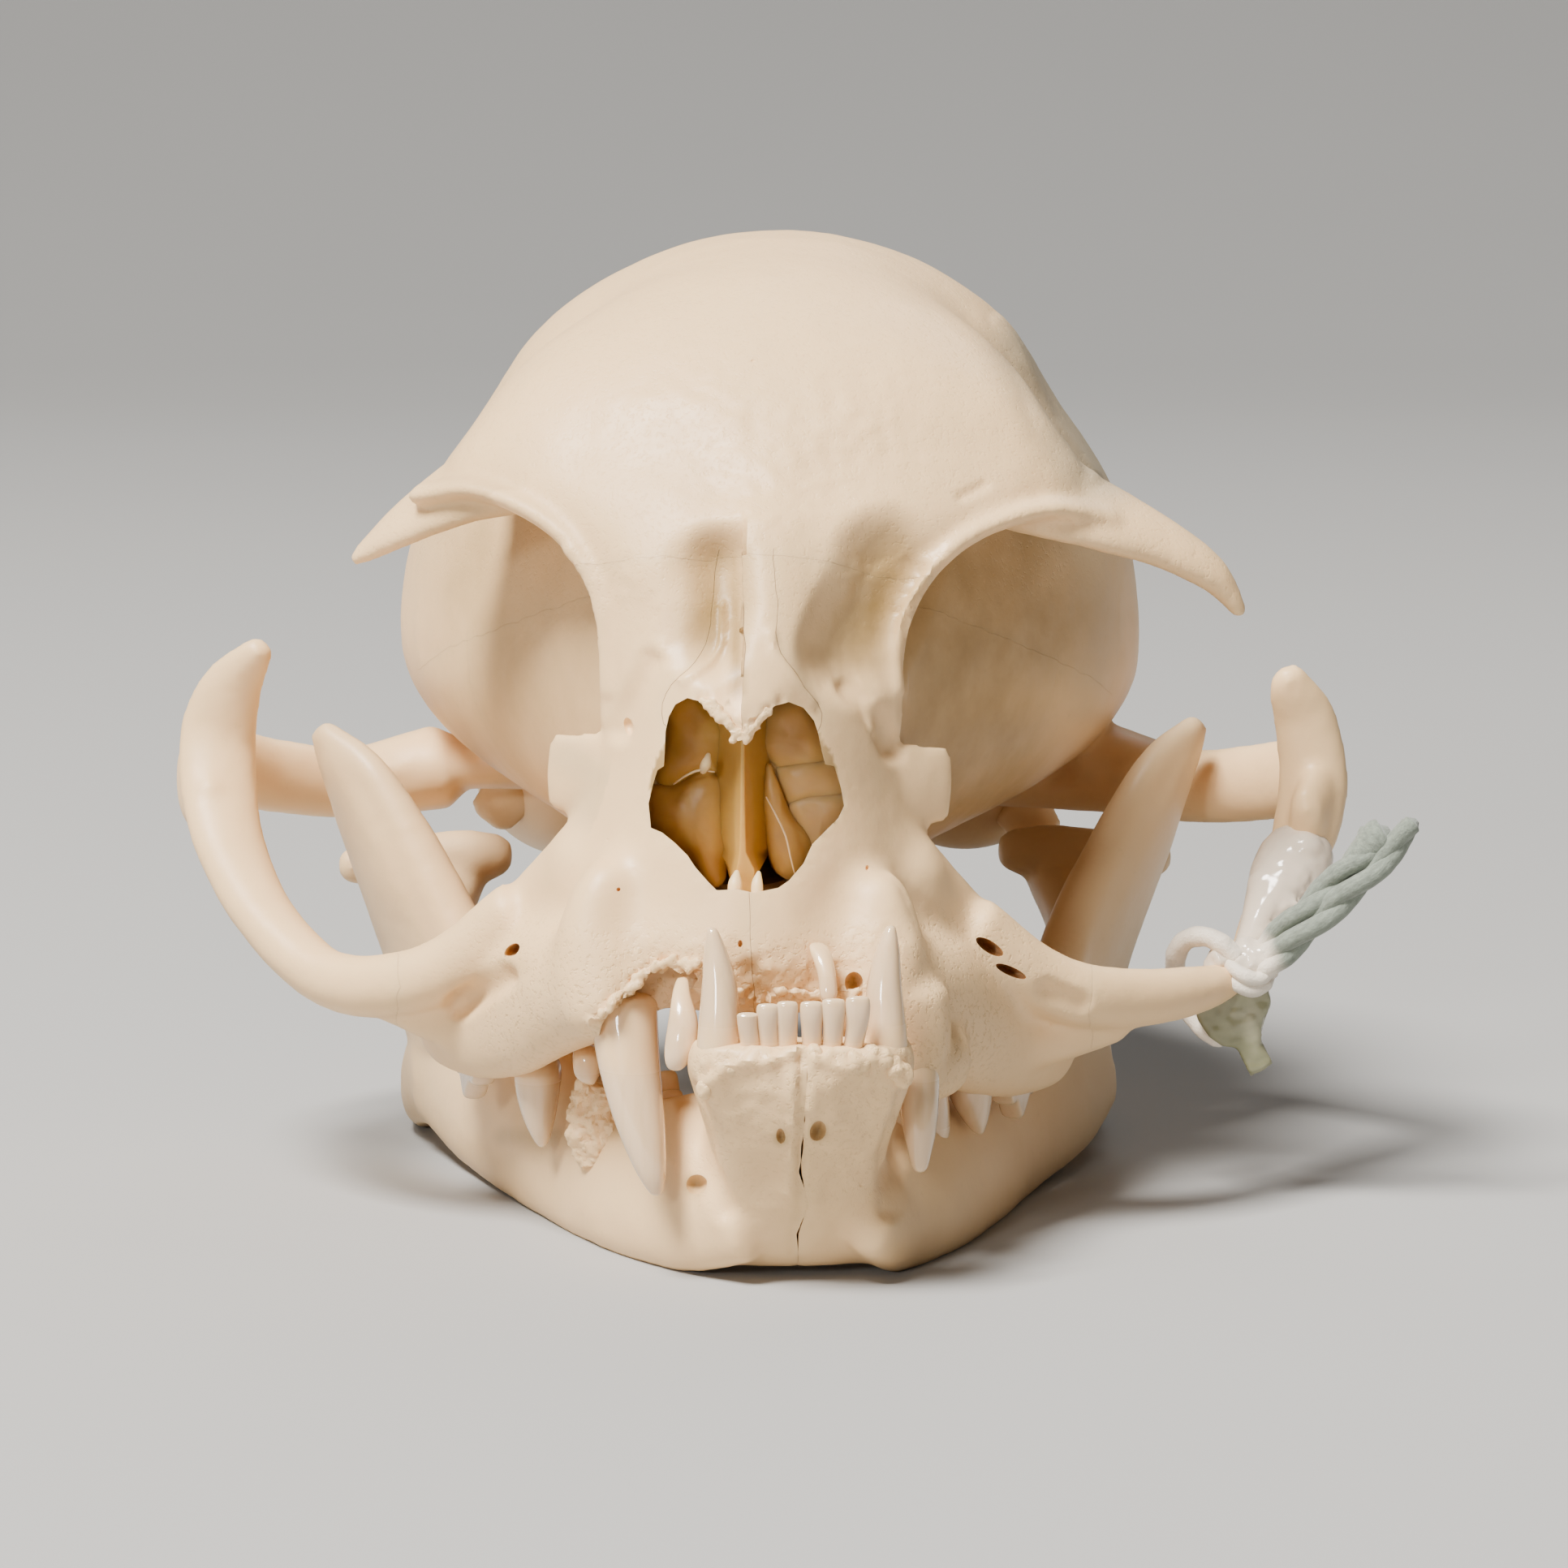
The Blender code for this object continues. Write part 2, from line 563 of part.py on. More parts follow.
def clear_of(piece, neighbour, gap=JOINT_GAP):
    """Cut a piece back until it leaves an open line round its neighbour."""
    swollen = copy_of(neighbour, "swollen")
    grow = swollen.modifiers.new("gap", "DISPLACE")
    grow.mid_level = 0.0
    grow.strength = gap * MM
    settle(swollen)
    return combine(piece, swollen, "DIFFERENCE")


def add_cut(mesh, corners):
    """A thin plate through four corners, half the open line to each side of them."""
    corners = [Vector(c) for c in corners]
    way = (corners[1] - corners[0]).cross(corners[3] - corners[0]).normalized()
    add_shell(mesh, [[c + way * side * 0.5 * JOINT_GAP for c in corners] for side in (-1, 1)])


def across_cut(mesh, low, high, half_width):
    """A cut right across the skull between two (y, z) places."""
    add_cut(mesh, [(-half_width, *low), (half_width, *low), (half_width, *high), (-half_width, *high)])


def upright_cut(mesh, ends, heights, side):
    """An upright cut between two (x, y) places on one side."""
    (x1, y1), (x2, y2) = ends
    low, high = heights
    x1, x2 = x1 * side, x2 * side
    add_cut(mesh, [(x1, y1, low), (x2, y2, low), (x2, y2, high), (x1, y1, high)])


def sagittal_cut(mesh, x, corners):
    """A cut along the skull at x through four (y, z) corners."""
    add_cut(mesh, [(x, y, z) for y, z in corners])


def bone_cuts():
    """Every thin cut of the cranium as one tool."""
    mesh = bmesh.new()
    across_cut(mesh, BROW_FRONT, BROW_BACK, BROW_HALF_WIDTH)
    across_cut(mesh, BROW_BACK, CORONAL_TOP, CORONAL_HALF_WIDTH)
    across_cut(mesh, FACE_BACK_FOOT, BROW_MIDDLE, FACE_HALF_WIDTH)
    across_cut(mesh, OCCIPITAL_FOOT, OCCIPITAL_TOP, OCCIPITAL_HALF_WIDTH)
    across_cut(mesh, NASAL_BACK_FOOT, NASAL_BACK_TOP, NASAL_HALF_WIDTH)
    sagittal_cut(mesh, 0.0, (FACE_FRONT_FOOT, FACE_BACK_FOOT, BROW_MIDDLE, FACE_FRONT_TOP))
    for side, _ in SIDES:
        sagittal_cut(mesh, NASAL_HALF_WIDTH * side,
                     (NASAL_FRONT_FOOT, NASAL_BACK_FOOT, NASAL_BACK_TOP, NASAL_FRONT_TOP))
        upright_cut(mesh, ZYGOMATIC_ROOT, ZYGOMATIC_ROOT_HEIGHTS, side)
        upright_cut(mesh, ZYGOMATIC_END, ZYGOMATIC_END_HEIGHTS, side)
    return solid("bone_cuts", mesh)


def bodies_of(piece):
    """The separate bodies of a mesh, each as its own object, largest first."""
    mesh = bmesh.new()
    mesh.from_mesh(piece.data)
    left = set(mesh.verts)
    groups = []
    while left:
        group, front = set(), [left.pop()]
        while front:
            vert = front.pop()
            group.add(vert)
            for edge in vert.link_edges:
                other = edge.other_vert(vert)
                if other in left:
                    left.discard(other)
                    front.append(other)
        groups.append(sorted(vert.index for vert in group))
    mesh.free()
    groups.sort(key=len, reverse=True)
    bodies = []
    for group in groups:
        body = copy_of(piece, "body")
        kept = bmesh.new()
        kept.from_mesh(body.data)
        group = set(group)
        bmesh.ops.delete(kept, geom=[v for v in kept.verts if v.index not in group], context="VERTS")
        kept.to_mesh(body.data)
        kept.free()
        bodies.append(body)
    bpy.data.objects.remove(piece)
    return bodies


def box_reach(body, point):
    """How far a point lies outside the body's box, and the box's size to settle ties."""
    corners = [Vector(c) for c in body.bound_box]
    outside = 0.0
    size = 0.0
    for axis in range(3):
        low = min(c[axis] for c in corners)
        high = max(c[axis] for c in corners)
        outside += max(low - point[axis] * MM, point[axis] * MM - high, 0.0)
        size += high - low
    return outside, size


def cranium_core():
    """Braincase, forehead and face block, with the orbits hollowed out of the front."""
    mesh = bmesh.new()
    add_shell(mesh, [shield_ring(*row) for row in dense(FOREHEAD, 3)])
    front = solid("front", mesh)
    for side, _ in SIDES:
        mesh = bmesh.new()
        centre, radii, turn = ORBIT_HOLLOW
        add_ball(mesh, centre, radii, side, turn)
        combine(front, solid("orbit", mesh), "DIFFERENCE")
    mesh = bmesh.new()
    mesh.from_mesh(front.data)
    bpy.data.objects.remove(front)
    add_shell(mesh, [egg_ring(*row) for row in dense(BRAINCASE, 3)])
    add_shell(mesh, [face_ring(*row) for row in dense(FACE, 2)])
    add_bar(mesh, NASAL_BRIDGE, (1, 0, 0))
    add_bar(mesh, PALATE, (1, 0, 0))
    add_ball(mesh, *OCCIPITAL_PLATE)
    add_ball(mesh, *BASIOCCIPITAL)
    for side, _ in SIDES:
        add_bar(mesh, CANINE_RIDGE, (1, 0, 0), side)
        add_bar(mesh, CHEEK, (0, 0, 1), side)
        add_bar(mesh, ORBIT_FLOOR, (0, 0, 1), side)
        add_bar(mesh, PALATINE_WALL, (0, 0, 1), side)
        add_ball(mesh, *BULLA_BED, side)
        add_ball(mesh, *OCCIPITAL_CONDYLE, side)
    return blend(solid("core", mesh), CORE_VOXEL, CORE_SMOOTHING)


def nasal_cutter():
    """The heart-shaped nasal opening carried back into the face."""
    outline = list(NASAL_OPENING) + [(-x, z) for x, z in NASAL_OPENING[-2:0:-1]]
    mesh = bmesh.new()
    add_shell(mesh, [[(x, y, z) for x, z in outline] for y in NASAL_DEPTH])
    return solid("nasal_cutter", mesh)


def cranium():
    """The whole upper skull as one skin, in its own straight frame."""
    piece = cranium_core()
    combine(piece, nasal_cutter(), "DIFFERENCE")
    mesh = bmesh.new()
    add_ball(mesh, *FORAMEN_MAGNUM)
    combine(piece, solid("foramen", mesh), "DIFFERENCE")
    mesh = bmesh.new()
    mesh.from_mesh(piece.data)
    bpy.data.objects.remove(piece)
    for side, _ in SIDES:
        add_bar(mesh, ORBIT_RIM, (0, 1, 0), side)
        add_bar(mesh, POSTORBITAL_RIGHT if side == RIGHT else POSTORBITAL_LEFT, (0, 1, 0.6), side)
        add_bar(mesh, LACRIMAL_FLANGE, (0, 0, 1), side)
        add_bar(mesh, ARCH_FRONT_RIGHT if side == RIGHT else ARCH_FRONT_LEFT, (1, 0, 0.6), side)
        add_bar(mesh, ARCH_LOWER_ROOT, (0, 0, 1), side)
        add_bar(mesh, ARCH_BACK, (0, 0, 1), side)
        add_bar(mesh, GLENOID, (0, 0, 1), side)
        add_bar(mesh, POSTGLENOID, (1, 0, 0), side)
        add_bar(mesh, NUCHAL_CREST, (0, 1, 0.2), side)
        add_bar(mesh, PARAOCCIPITAL, (1, 0, 0), side)
    return thin_out(blend(solid("cranium", mesh), FINE_VOXEL, FINE_SMOOTHING), CRANIUM_TRIANGLES)


def cheek_teeth(mesh, teeth, side, up):
    """Blade-shaped cheek teeth along one row, their crowns pointing up or down."""
    for x, y, z, half_length, height in teeth:
        stations = ((x, y, z - 1.6 * up, half_length, CHEEK_TOOTH_THICKNESS),
                    (x, y, z + 0.4 * height * up, half_length, CHEEK_TOOTH_THICKNESS),
                    (x, y, z + height * up, 0.35, 0.3))
        add_bar(mesh, stations, (0.35, 1, 0), side, sides=6, steps=1)


def name_bones(bodies):
    """Give every body of the parted cranium its bone's name, and drop the cuts' crumbs."""
    places = dict(MIDDLE_BONES)
    for bone, (x, y, z) in SIDE_BONES.items():
        for side, word in SIDES:
            places[bone + "_" + word] = (x * side, y, z)
    bones = {}
    for name, point in places.items():
        body = min(bodies, key=lambda one: box_reach(one, point))
        body.name = name
        bones[name] = body
        bodies.remove(body)
    for crumb in bodies:
        bpy.data.objects.remove(crumb)
    return bones


def bulla(whole, side, word):
    """The bubble of bone under the ear, fitted against the braincase."""
    mesh = bmesh.new()
    centre = BULLA_RIGHT if side == RIGHT else BULLA_LEFT
    add_ball(mesh, centre, BULLA_RADII, side, BULLA_TURN, BULLA_SEGMENTS)
    return largest(clear_of(solid("bulla_" + word, mesh), whole, BULLA_GAP))


def largest(piece):
    """Keep only the largest body of a piece, under the piece's name."""
    name = piece.name
    first, *crumbs = bodies_of(piece)
    for crumb in crumbs:
        bpy.data.objects.remove(crumb)
    first.name = name
    return first


def nasal_septum(whole):
    """The upright septum with the scrolled bones beside it, inside the nasal opening."""
    mesh = bmesh.new()
    add_ball(mesh, *SEPTUM, segments=16)
    for side, _ in SIDES:
        add_ball(mesh, *TURBINATE, side, segments=12)
    septum = thin_out(blend(solid("nasal_septum", mesh), FINE_VOXEL, 1), SEPTUM_TRIANGLES)
    return largest(clear_of(septum, whole))


def tooth(name, stations, neighbour, side, wide=(1, 0, 0)):
    """A canine, cut off where it enters its bone."""
    mesh = bmesh.new()
    add_bar(mesh, stations, wide, side, sides=8, steps=1)
    return largest(clear_of(solid(name, mesh), neighbour))


def upper_bones():
    """The cranium parted into its bones, with the teeth, bullae and septum that sit in it."""
    whole = cranium()
    nodes = {}
    for side, word in SIDES:
        nodes["bulla_" + word] = bulla(whole, side, word)
        stations = UPPER_CANINE_RIGHT if side == RIGHT else UPPER_CANINE_LEFT
        nodes["upper_canine_" + word] = tooth("upper_canine_" + word, stations, whole, side)
    nodes["nasal_septum"] = nasal_septum(whole)
    nodes["glue_repair"] = glue(whole)
    nodes["string_tie"] = string(whole, nodes["glue_repair"])
    mesh = bmesh.new()
    add_bar(mesh, UPPER_INCISOR, (1, 0, 0), 1, sides=6, steps=1)
    cheek_teeth(mesh, UPPER_TEETH_RIGHT, RIGHT, -1)
    cheek_teeth(mesh, UPPER_TEETH_LEFT, LEFT, -1)
    combine(whole, solid("teeth", mesh), "UNION")
    nodes.update(name_bones(bodies_of(combine(whole, bone_cuts(), "DIFFERENCE"))))
    return nodes


def glue(whole):
    """The clear swelling along the break, with the drop that hangs below it."""
    mesh = bmesh.new()
    add_bar(mesh, GLUE, (1, 0, 0.3), LEFT, sides=10, steps=1)
    return largest(clear_of(solid("glue_repair", mesh), whole))


def string(whole, glue_repair):
    """Knot, loop, twisted tail and stiffened lower tail of the tie."""
    mesh = bmesh.new()
    add_ball(mesh, *KNOT, segments=12)
    for strand in (STRING_TAIL_LOWER, STRING_TAIL_UPPER, STRING_LOOP):
        add_bar(mesh, strand, (0, 1, 0), LEFT, sides=8, steps=2)
    add_bar(mesh, GLUE_TAIL, (1, 0, 0), LEFT, sides=8, steps=2)
    tie = thin_out(blend(solid("string_tie", mesh), STRING_VOXEL, 1), STRING_TRIANGLES)
    return largest(clear_of(clear_of(tie, whole), glue_repair))


def jaw_half(side, word):
    """One half of the lower jaw with its incisors and cheek teeth, flat where it rests."""
    mesh = bmesh.new()
    add_shell(mesh, [[(x * side, y, z) for x, y, z in chin_ring(*row)] for row in dense(CHIN, 2)])
    out, down = JAW_SHIFT[side]
    middle = [(x + out, y, z + down, *size) for x, y, z, *size in JAW_BODY[1:-2]]
    body = [JAW_BODY[0], *middle, *JAW_BODY[-2:]]
    add_bar(mesh, body, JAW_LEAN[side], side)
    add_bar(mesh, RAMUS, (0.42, 1, 0), side)
    add_bar(mesh, RAMUS_FRONT, (1, 0, 0), side)
    add_bar(mesh, CONDYLE_NECK, (0.2, 1, 0), side)
    add_bar(mesh, CONDYLE, (0, 1, 0), side)
    add_bar(mesh, ANGULAR_PROCESS, (0, 0, 1), side)
    half = thin_out(blend(solid("mandible_" + word, mesh), FINE_VOXEL, FINE_SMOOTHING), JAW_TRIANGLES)
    mesh = bmesh.new()
    add_cut(mesh, SYMPHYSIS_CORNERS)
    combine(half, solid("symphysis", mesh), "DIFFERENCE")
    mesh = bmesh.new()
    add_shell(mesh, [[(x, y, z) for x, y in TABLE_CORNERS] for z in (-9.0, 0.0)])
    combine(half, solid("table_top", mesh), "DIFFERENCE")
    half = largest(half)
    canine = tooth("lower_canine_" + word, LOWER_CANINE, half, side)
    mesh = bmesh.new()
    for x in INCISOR_PLACES:
        stations = [(x, *row) for row in INCISOR]
        add_bar(mesh, stations, (1, 0, 0), side, sides=6, steps=1)
    cheek_teeth(mesh, LOWER_CHEEK_TEETH, side, 1)
    combine(half, solid("teeth", mesh), "UNION")
    return {half.name: half, canine.name: canine}


def pose(nodes, turn, pivot, seat):
    """Turn nodes about a pivot and move the pivot to its seat."""
    place = Matrix.Translation(Vector(seat) * MM) @ turn @ Matrix.Translation(Vector(pivot) * -MM)
    for node in nodes.values():
        node.data.transform(place)


def paint(node):
    """The node's own material."""
    kind = node.name if node.name in FINISHES else node.name.rsplit("_", 1)[0]
    (red, green, blue), rough = FINISHES[kind]
    material = bpy.data.materials.new(node.name)
    material.use_nodes = True
    shader = material.node_tree.nodes["Principled BSDF"]
    shader.inputs["Base Color"].default_value = (red, green, blue, 1.0)
    shader.inputs["Roughness"].default_value = rough
    shader.inputs["Metallic"].default_value = 0.0
    node.data.materials.clear()
    node.data.materials.append(material)


def main():
    for old in list(bpy.data.objects):
        bpy.data.objects.remove(old)
    upper = upper_bones()
    turn = (Matrix.Rotation(math.radians(-CRANIUM_YAW), 4, "Z")
            @ Matrix.Rotation(math.radians(CRANIUM_ROLL), 4, "Y"))
    seat = [p + s for p, s in zip(CRANIUM_PIVOT, FRAME_SHIFT)]
    pose(upper, turn, CRANIUM_PIVOT, seat)
    lower = {}
    for side, word in SIDES:
        lower.update(jaw_half(side, word))
    seat = [p + s for p, s in zip(JAW_PIVOT, FRAME_SHIFT)]
    pose(lower, Matrix.Rotation(math.radians(-JAW_YAW), 4, "Z"), (0.0, *JAW_PIVOT[1:]), seat)
    for node in (*upper.values(), *lower.values()):
        paint(node)


main()
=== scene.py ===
"""A life-size short-faced cat's skull with its lower jaw in place and a mended cheekbone.

Sizes are in millimetres in the named values below and become metres when a mesh is made.
+X is the viewer's right (the animal's left), +Y runs to the back of the skull, +Z is up.
Forms are given with the chin at y = 0 and the table at z = 0; FRAME_SHIFT moves them to the frame.
Marks drawn on the bones are lines in the picture's pixels, as the camera sees them.
"""

import json
import math
import random

import bmesh
import bpy
import numpy as np
from bpy.props import FloatProperty, FloatVectorProperty, PointerProperty
from mathutils import Matrix, Vector, noise

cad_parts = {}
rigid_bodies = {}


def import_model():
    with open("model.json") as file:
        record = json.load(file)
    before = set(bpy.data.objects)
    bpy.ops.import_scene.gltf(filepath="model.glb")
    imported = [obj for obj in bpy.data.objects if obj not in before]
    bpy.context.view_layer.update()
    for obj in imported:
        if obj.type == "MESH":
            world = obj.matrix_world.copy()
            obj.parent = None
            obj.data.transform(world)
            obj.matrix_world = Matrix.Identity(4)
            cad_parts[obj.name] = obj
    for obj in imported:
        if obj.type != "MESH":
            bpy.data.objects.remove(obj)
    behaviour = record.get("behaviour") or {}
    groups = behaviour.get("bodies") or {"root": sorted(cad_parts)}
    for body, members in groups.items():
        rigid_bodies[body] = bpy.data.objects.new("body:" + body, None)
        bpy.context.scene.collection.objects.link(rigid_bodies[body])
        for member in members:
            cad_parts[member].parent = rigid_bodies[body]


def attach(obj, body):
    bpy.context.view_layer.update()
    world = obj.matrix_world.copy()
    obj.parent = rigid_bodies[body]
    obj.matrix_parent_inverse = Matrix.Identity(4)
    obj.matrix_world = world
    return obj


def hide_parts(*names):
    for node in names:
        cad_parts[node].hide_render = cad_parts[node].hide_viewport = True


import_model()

bl_info = {
    "name": "Cat skull",
    "version": (1, 0, 0),
    "blender": (4, 5, 0),
    "location": "3D View > Sidebar > Skull",
    "description": "Builds a short-faced cat's skull with its lower jaw and a mended cheekbone",
    "category": "Add Mesh",
}

MM = 0.001
BODY = "root"

# The camera: a long lens looking along +Y and a little down
CAMERA_TARGET = (1.17, 38.0, 23.7)
CAMERA_DISTANCE = 330.0
CAMERA_ELEVATION = 8.0                  # degrees above the horizon
LENS, SENSOR = 124.97, 36.0
PICTURE = 1932                          # the picture's width and height in pixels
FOCAL_PIXELS = LENS / SENSOR * PICTURE

# The pose: the cranium is turned and rolled a little against the jaw it rests on.
CRANIUM_YAW = 1.6                       # degrees, face towards -X
CRANIUM_ROLL = 1.8                      # degrees, crown towards +X
CRANIUM_PIVOT = (0.0, 50.0, 23.0)
JAW_YAW = -3.4                          # degrees, chin towards +X
JAW_PIVOT = (2.15, 4.0, 0.0)
FRAME_SHIFT = (-1.285, -39.621, 0.0)
RIGHT, LEFT = -1, 1                     # sign of x for the animal's right and left
SIDES = ((RIGHT, "right"), (LEFT, "left"))

# Braincase, front to back: y, half width, top, widest height, bottom
BRAINCASE = (
    (15.0, 7.0, 40.6, 31.5, 21.0),
    (20.0, 8.6, 46.0, 31.5, 19.0),
    (26.0, 12.2, 50.8, 32.0, 18.5),
    (32.0, 16.2, 54.0, 32.0, 18.5),
    (38.0, 19.8, 56.0, 32.0, 18.8),
    (44.0, 22.2, 56.9, 31.5, 19.0),
    (50.0, 23.2, 56.5, 31.0, 19.4),
    (56.0, 22.7, 54.8, 30.5, 20.4),
    (62.0, 20.8, 51.4, 30.0, 21.2),
    (68.0, 17.4, 46.8, 30.0, 21.8),
    (73.0, 13.0, 42.0, 30.0, 22.8),
    (75.5, 9.0, 38.6, 30.0, 23.5),
)
# Forehead shield, front to back: y, half width at the rim, rim height, crown height
FOREHEAD = (
    (13.4, 6.4, 38.4, 40.6),
    (16.2, 9.8, 40.5, 44.4),
    (20.0, 14.6, 42.3, 48.8),
    (24.0, 18.9, 43.0, 51.8),
    (28.0, 19.4, 43.6, 53.8),
    (32.0, 17.6, 45.2, 55.2),
    (36.0, 14.4, 47.6, 56.0),
    (41.0, 10.8, 52.4, 56.8),
)
FOREHEAD_THICKNESS = 2.2
CROWN_LEAN = 0.035, 38.0                # the crown's shift towards +X for each mm above this height
FOREHEAD_ROUNDNESS = 2.1
# Face block, bottom to top: z, front, half width, side, back (all but the first as x or y)
FACE = (
    (15.2, 9.0, 8.6, 12.6, 19.0),
    (16.4, 6.9, 10.0, 13.6, 21.0),
    (18.0, 6.2, 11.2, 15.4, 23.0),
    (21.0, 6.9, 11.0, 16.2, 23.0),
    (24.0, 7.8, 10.0, 16.0, 23.0),
    (27.0, 8.5, 9.0, 15.8, 23.0),
    (30.0, 9.0, 8.3, 15.2, 23.0),
    (33.0, 9.9, 8.1, 15.0, 24.0),
    (36.0, 11.4, 8.4, 15.4, 24.0),
    (39.0, 13.0, 9.6, 16.6, 25.0),
    (41.4, 14.8, 12.0, 19.0, 26.0),
)
FACE_ROUNDNESS = 2.3

# Bars: x (outwards), y, z, half size along the wide way, half size across it
ORBIT_RIM = (
    (8.0, 16.0, 30.0, 1.0, 0.55),
    (8.1, 15.9, 35.0, 1.0, 0.55),
    (9.3, 16.5, 38.6, 1.0, 0.6),
    (12.3, 18.6, 41.3, 1.1, 0.6),
    (16.6, 21.6, 42.5, 1.2, 0.6),
    (20.0, 24.5, 41.9, 1.4, 0.7),
)
POSTORBITAL_RIGHT = (
    (12.4, 25.0, 44.2, 5.0, 1.4),
    (16.8, 25.4, 42.8, 4.2, 1.3),
    (20.4, 26.2, 40.4, 2.6, 1.0),
    (22.6, 26.8, 38.6, 1.3, 0.7),
    (23.8, 27.0, 37.6, 0.5, 0.4),
)
POSTORBITAL_LEFT = (
    (13.0, 25.0, 44.2, 5.0, 1.4),
    (18.6, 25.2, 42.4, 3.8, 1.3),
    (23.0, 26.1, 40.5, 2.4, 1.1),
    (26.2, 26.8, 38.6, 1.6, 0.9),
    (28.0, 27.0, 36.3, 0.6, 0.5),
)
NASAL_BRIDGE = (
    (0.0, 15.6, 41.0, 4.6, 2.4),
    (0.0, 12.6, 37.2, 3.6, 2.0),
    (0.0, 10.4, 33.6, 3.2, 1.5),
    (0.0, 9.2, 31.6, 2.2, 0.9),
)
CANINE_RIDGE = (
    (7.2, 9.0, 14.6, 2.8, 2.8),
    (8.0, 9.6, 18.0, 2.6, 2.4),
    (7.6, 10.6, 22.0, 1.8, 2.0),
)
CANINE_COVER = (
    (9.1, 9.8, 16.0, 2.7, 2.6),
    (9.5, 9.7, 13.8, 2.5, 2.5),
    (9.9, 9.9, 12.0, 1.9, 2.2),
    (11.4, 12.8, 12.2, 2.0, 2.4),
)
CHEEK = (
    (8.0, 10.4, 15.8, 3.2, 2.8),
    (10.8, 14.0, 14.8, 4.0, 2.4),
    (13.2, 18.0, 13.2, 4.4, 2.2),
    (16.0, 23.0, 12.0, 4.3, 2.1),
    (18.0, 27.5, 11.8, 3.9, 1.9),
    (17.8, 31.5, 13.2, 2.4, 1.6),
)
ORBIT_FLOOR = (
    (8.6, 15.0, 22.0, 3.2, 2.4),
    (10.4, 17.6, 19.6, 3.2, 2.2),
    (13.0, 19.4, 17.4, 2.6, 2.0),
    (16.2, 20.6, 15.8, 2.2, 1.8),
)
LACRIMAL_FLANGE = (
    (8.4, 15.9, 26.9, 2.6, 0.7),
    (10.6, 17.3, 26.9, 2.4, 0.5),
    (11.3, 17.8, 26.9, 2.1, 0.4),
)
PALATE = (
    (0.0, 8.0, 16.4, 5.0, 1.4),
    (0.0, 14.0, 15.6, 9.0, 1.4),
    (0.0, 21.0, 15.4, 13.0, 1.4),
    (0.0, 28.0, 15.8, 15.0, 1.4),
    (0.0, 33.0, 16.2, 9.0, 1.4),
)
PALATINE_WALL = (
    (7.0, 18.0, 20.0, 5.0, 1.8),
    (7.4, 26.0, 19.0, 4.0, 1.7),
    (6.6, 34.0, 18.4, 3.4, 1.4),
    (6.0, 42.0, 18.2, 3.0, 1.2),
    (6.6, 47.0, 17.2, 2.4, 1.0),
)
ARCH_FRONT_RIGHT = (
    (12.6, 18.0, 18.2, 2.6, 2.0),
    (16.4, 19.4, 15.4, 2.0, 1.9),
    (20.0, 21.0, 13.7, 1.9, 1.8),
    (24.4, 24.4, 13.2, 2.0, 1.7),
    (28.6, 28.4, 15.9, 2.1, 1.6),
    (31.6, 32.6, 20.1, 2.3, 1.5),
    (32.7, 35.8, 24.9, 2.4, 1.4),
    (32.0, 35.6, 28.5, 2.0, 1.2),
    (30.0, 34.0, 31.4, 0.9, 0.8),
)
ARCH_FRONT_LEFT = (
    (12.6, 18.0, 18.2, 2.6, 2.0),
    (16.4, 19.4, 15.8, 2.0, 1.9),
    (20.0, 21.0, 14.4, 1.9, 1.8),
    (24.8, 24.8, 14.0, 1.6, 1.6),
    (28.6, 29.2, 14.6, 1.1, 1.1),
    (30.5, 32.2, 17.8, 1.35, 1.2),
    (32.7, 34.8, 21.6, 2.0, 1.4),
    (33.3, 36.0, 25.4, 2.1, 1.4),
    (32.7, 35.8, 28.8, 1.95, 1.2),
    (31.7, 35.0, 31.0, 1.45, 1.0),
    (31.5, 34.6, 32.0, 1.0, 0.8),
)
ARCH_LOWER_ROOT = (
    (14.2, 20.6, 11.8, 2.6, 1.8),
    (17.6, 22.2, 12.0, 2.0, 1.7),
    (21.6, 23.4, 12.9, 1.5, 1.4),
)
ARCH_BACK_SEAT = {RIGHT: (-1.1, 0.90), LEFT: (0.6, 0.93)}   # up, and share of its height
ARCH_BACK = (
    (32.8, 33.4, 22.6, 2.2, 1.1),
    (33.9, 36.4, 23.8, 3.0, 1.3),
    (34.2, 40.0, 24.3, 2.9, 1.3),
    (33.0, 43.8, 23.9, 2.7, 1.4),
    (30.4, 47.4, 22.9, 2.6, 1.6),
    (26.2, 50.5, 22.2, 2.5, 2.2),
    (20.6, 52.0, 23.2, 3.0, 3.2),
)
GLENOID = (
    (14.4, 51.8, 22.4, 1.5, 2.4),
    (19.0, 52.0, 22.3, 1.5, 2.9),
    (25.4, 50.6, 22.0, 1.3, 2.2),
)
POSTGLENOID = ((16.0, 54.6, 20.8, 2.0, 1.2), (17.6, 54.8, 18.6, 1.6, 0.9))
BULLA_RADII, BULLA_TURN = (6.4, 9.2, 6.0), 14.0
BULLA_RIGHT, BULLA_LEFT = (12.8, 61.0, 21.4), (12.8, 61.0, 22.8)
BULLA_BED = (13.2, 60.0, 25.0), (8.0, 11.0, 3.4)
NUCHAL_CREST = (
    (17.2, 67.6, 25.4, 1.8, 1.2),
    (15.6, 70.0, 31.6, 1.6, 1.2),
    (11.4, 72.8, 37.2, 1.6, 1.2),
    (5.0, 74.6, 40.6, 1.6, 1.2),
    (0.0, 75.0, 41.4, 1.6, 1.2),
)
OCCIPITAL_PLATE = (0.0, 71.6, 29.4), (15.8, 4.4, 11.0)
OCCIPITAL_CONDYLE = (6.4, 74.6, 20.6), (3.2, 3.8, 4.6)
BASIOCCIPITAL = (0.0, 64.0, 21.4), (6.6, 13.0, 2.6)
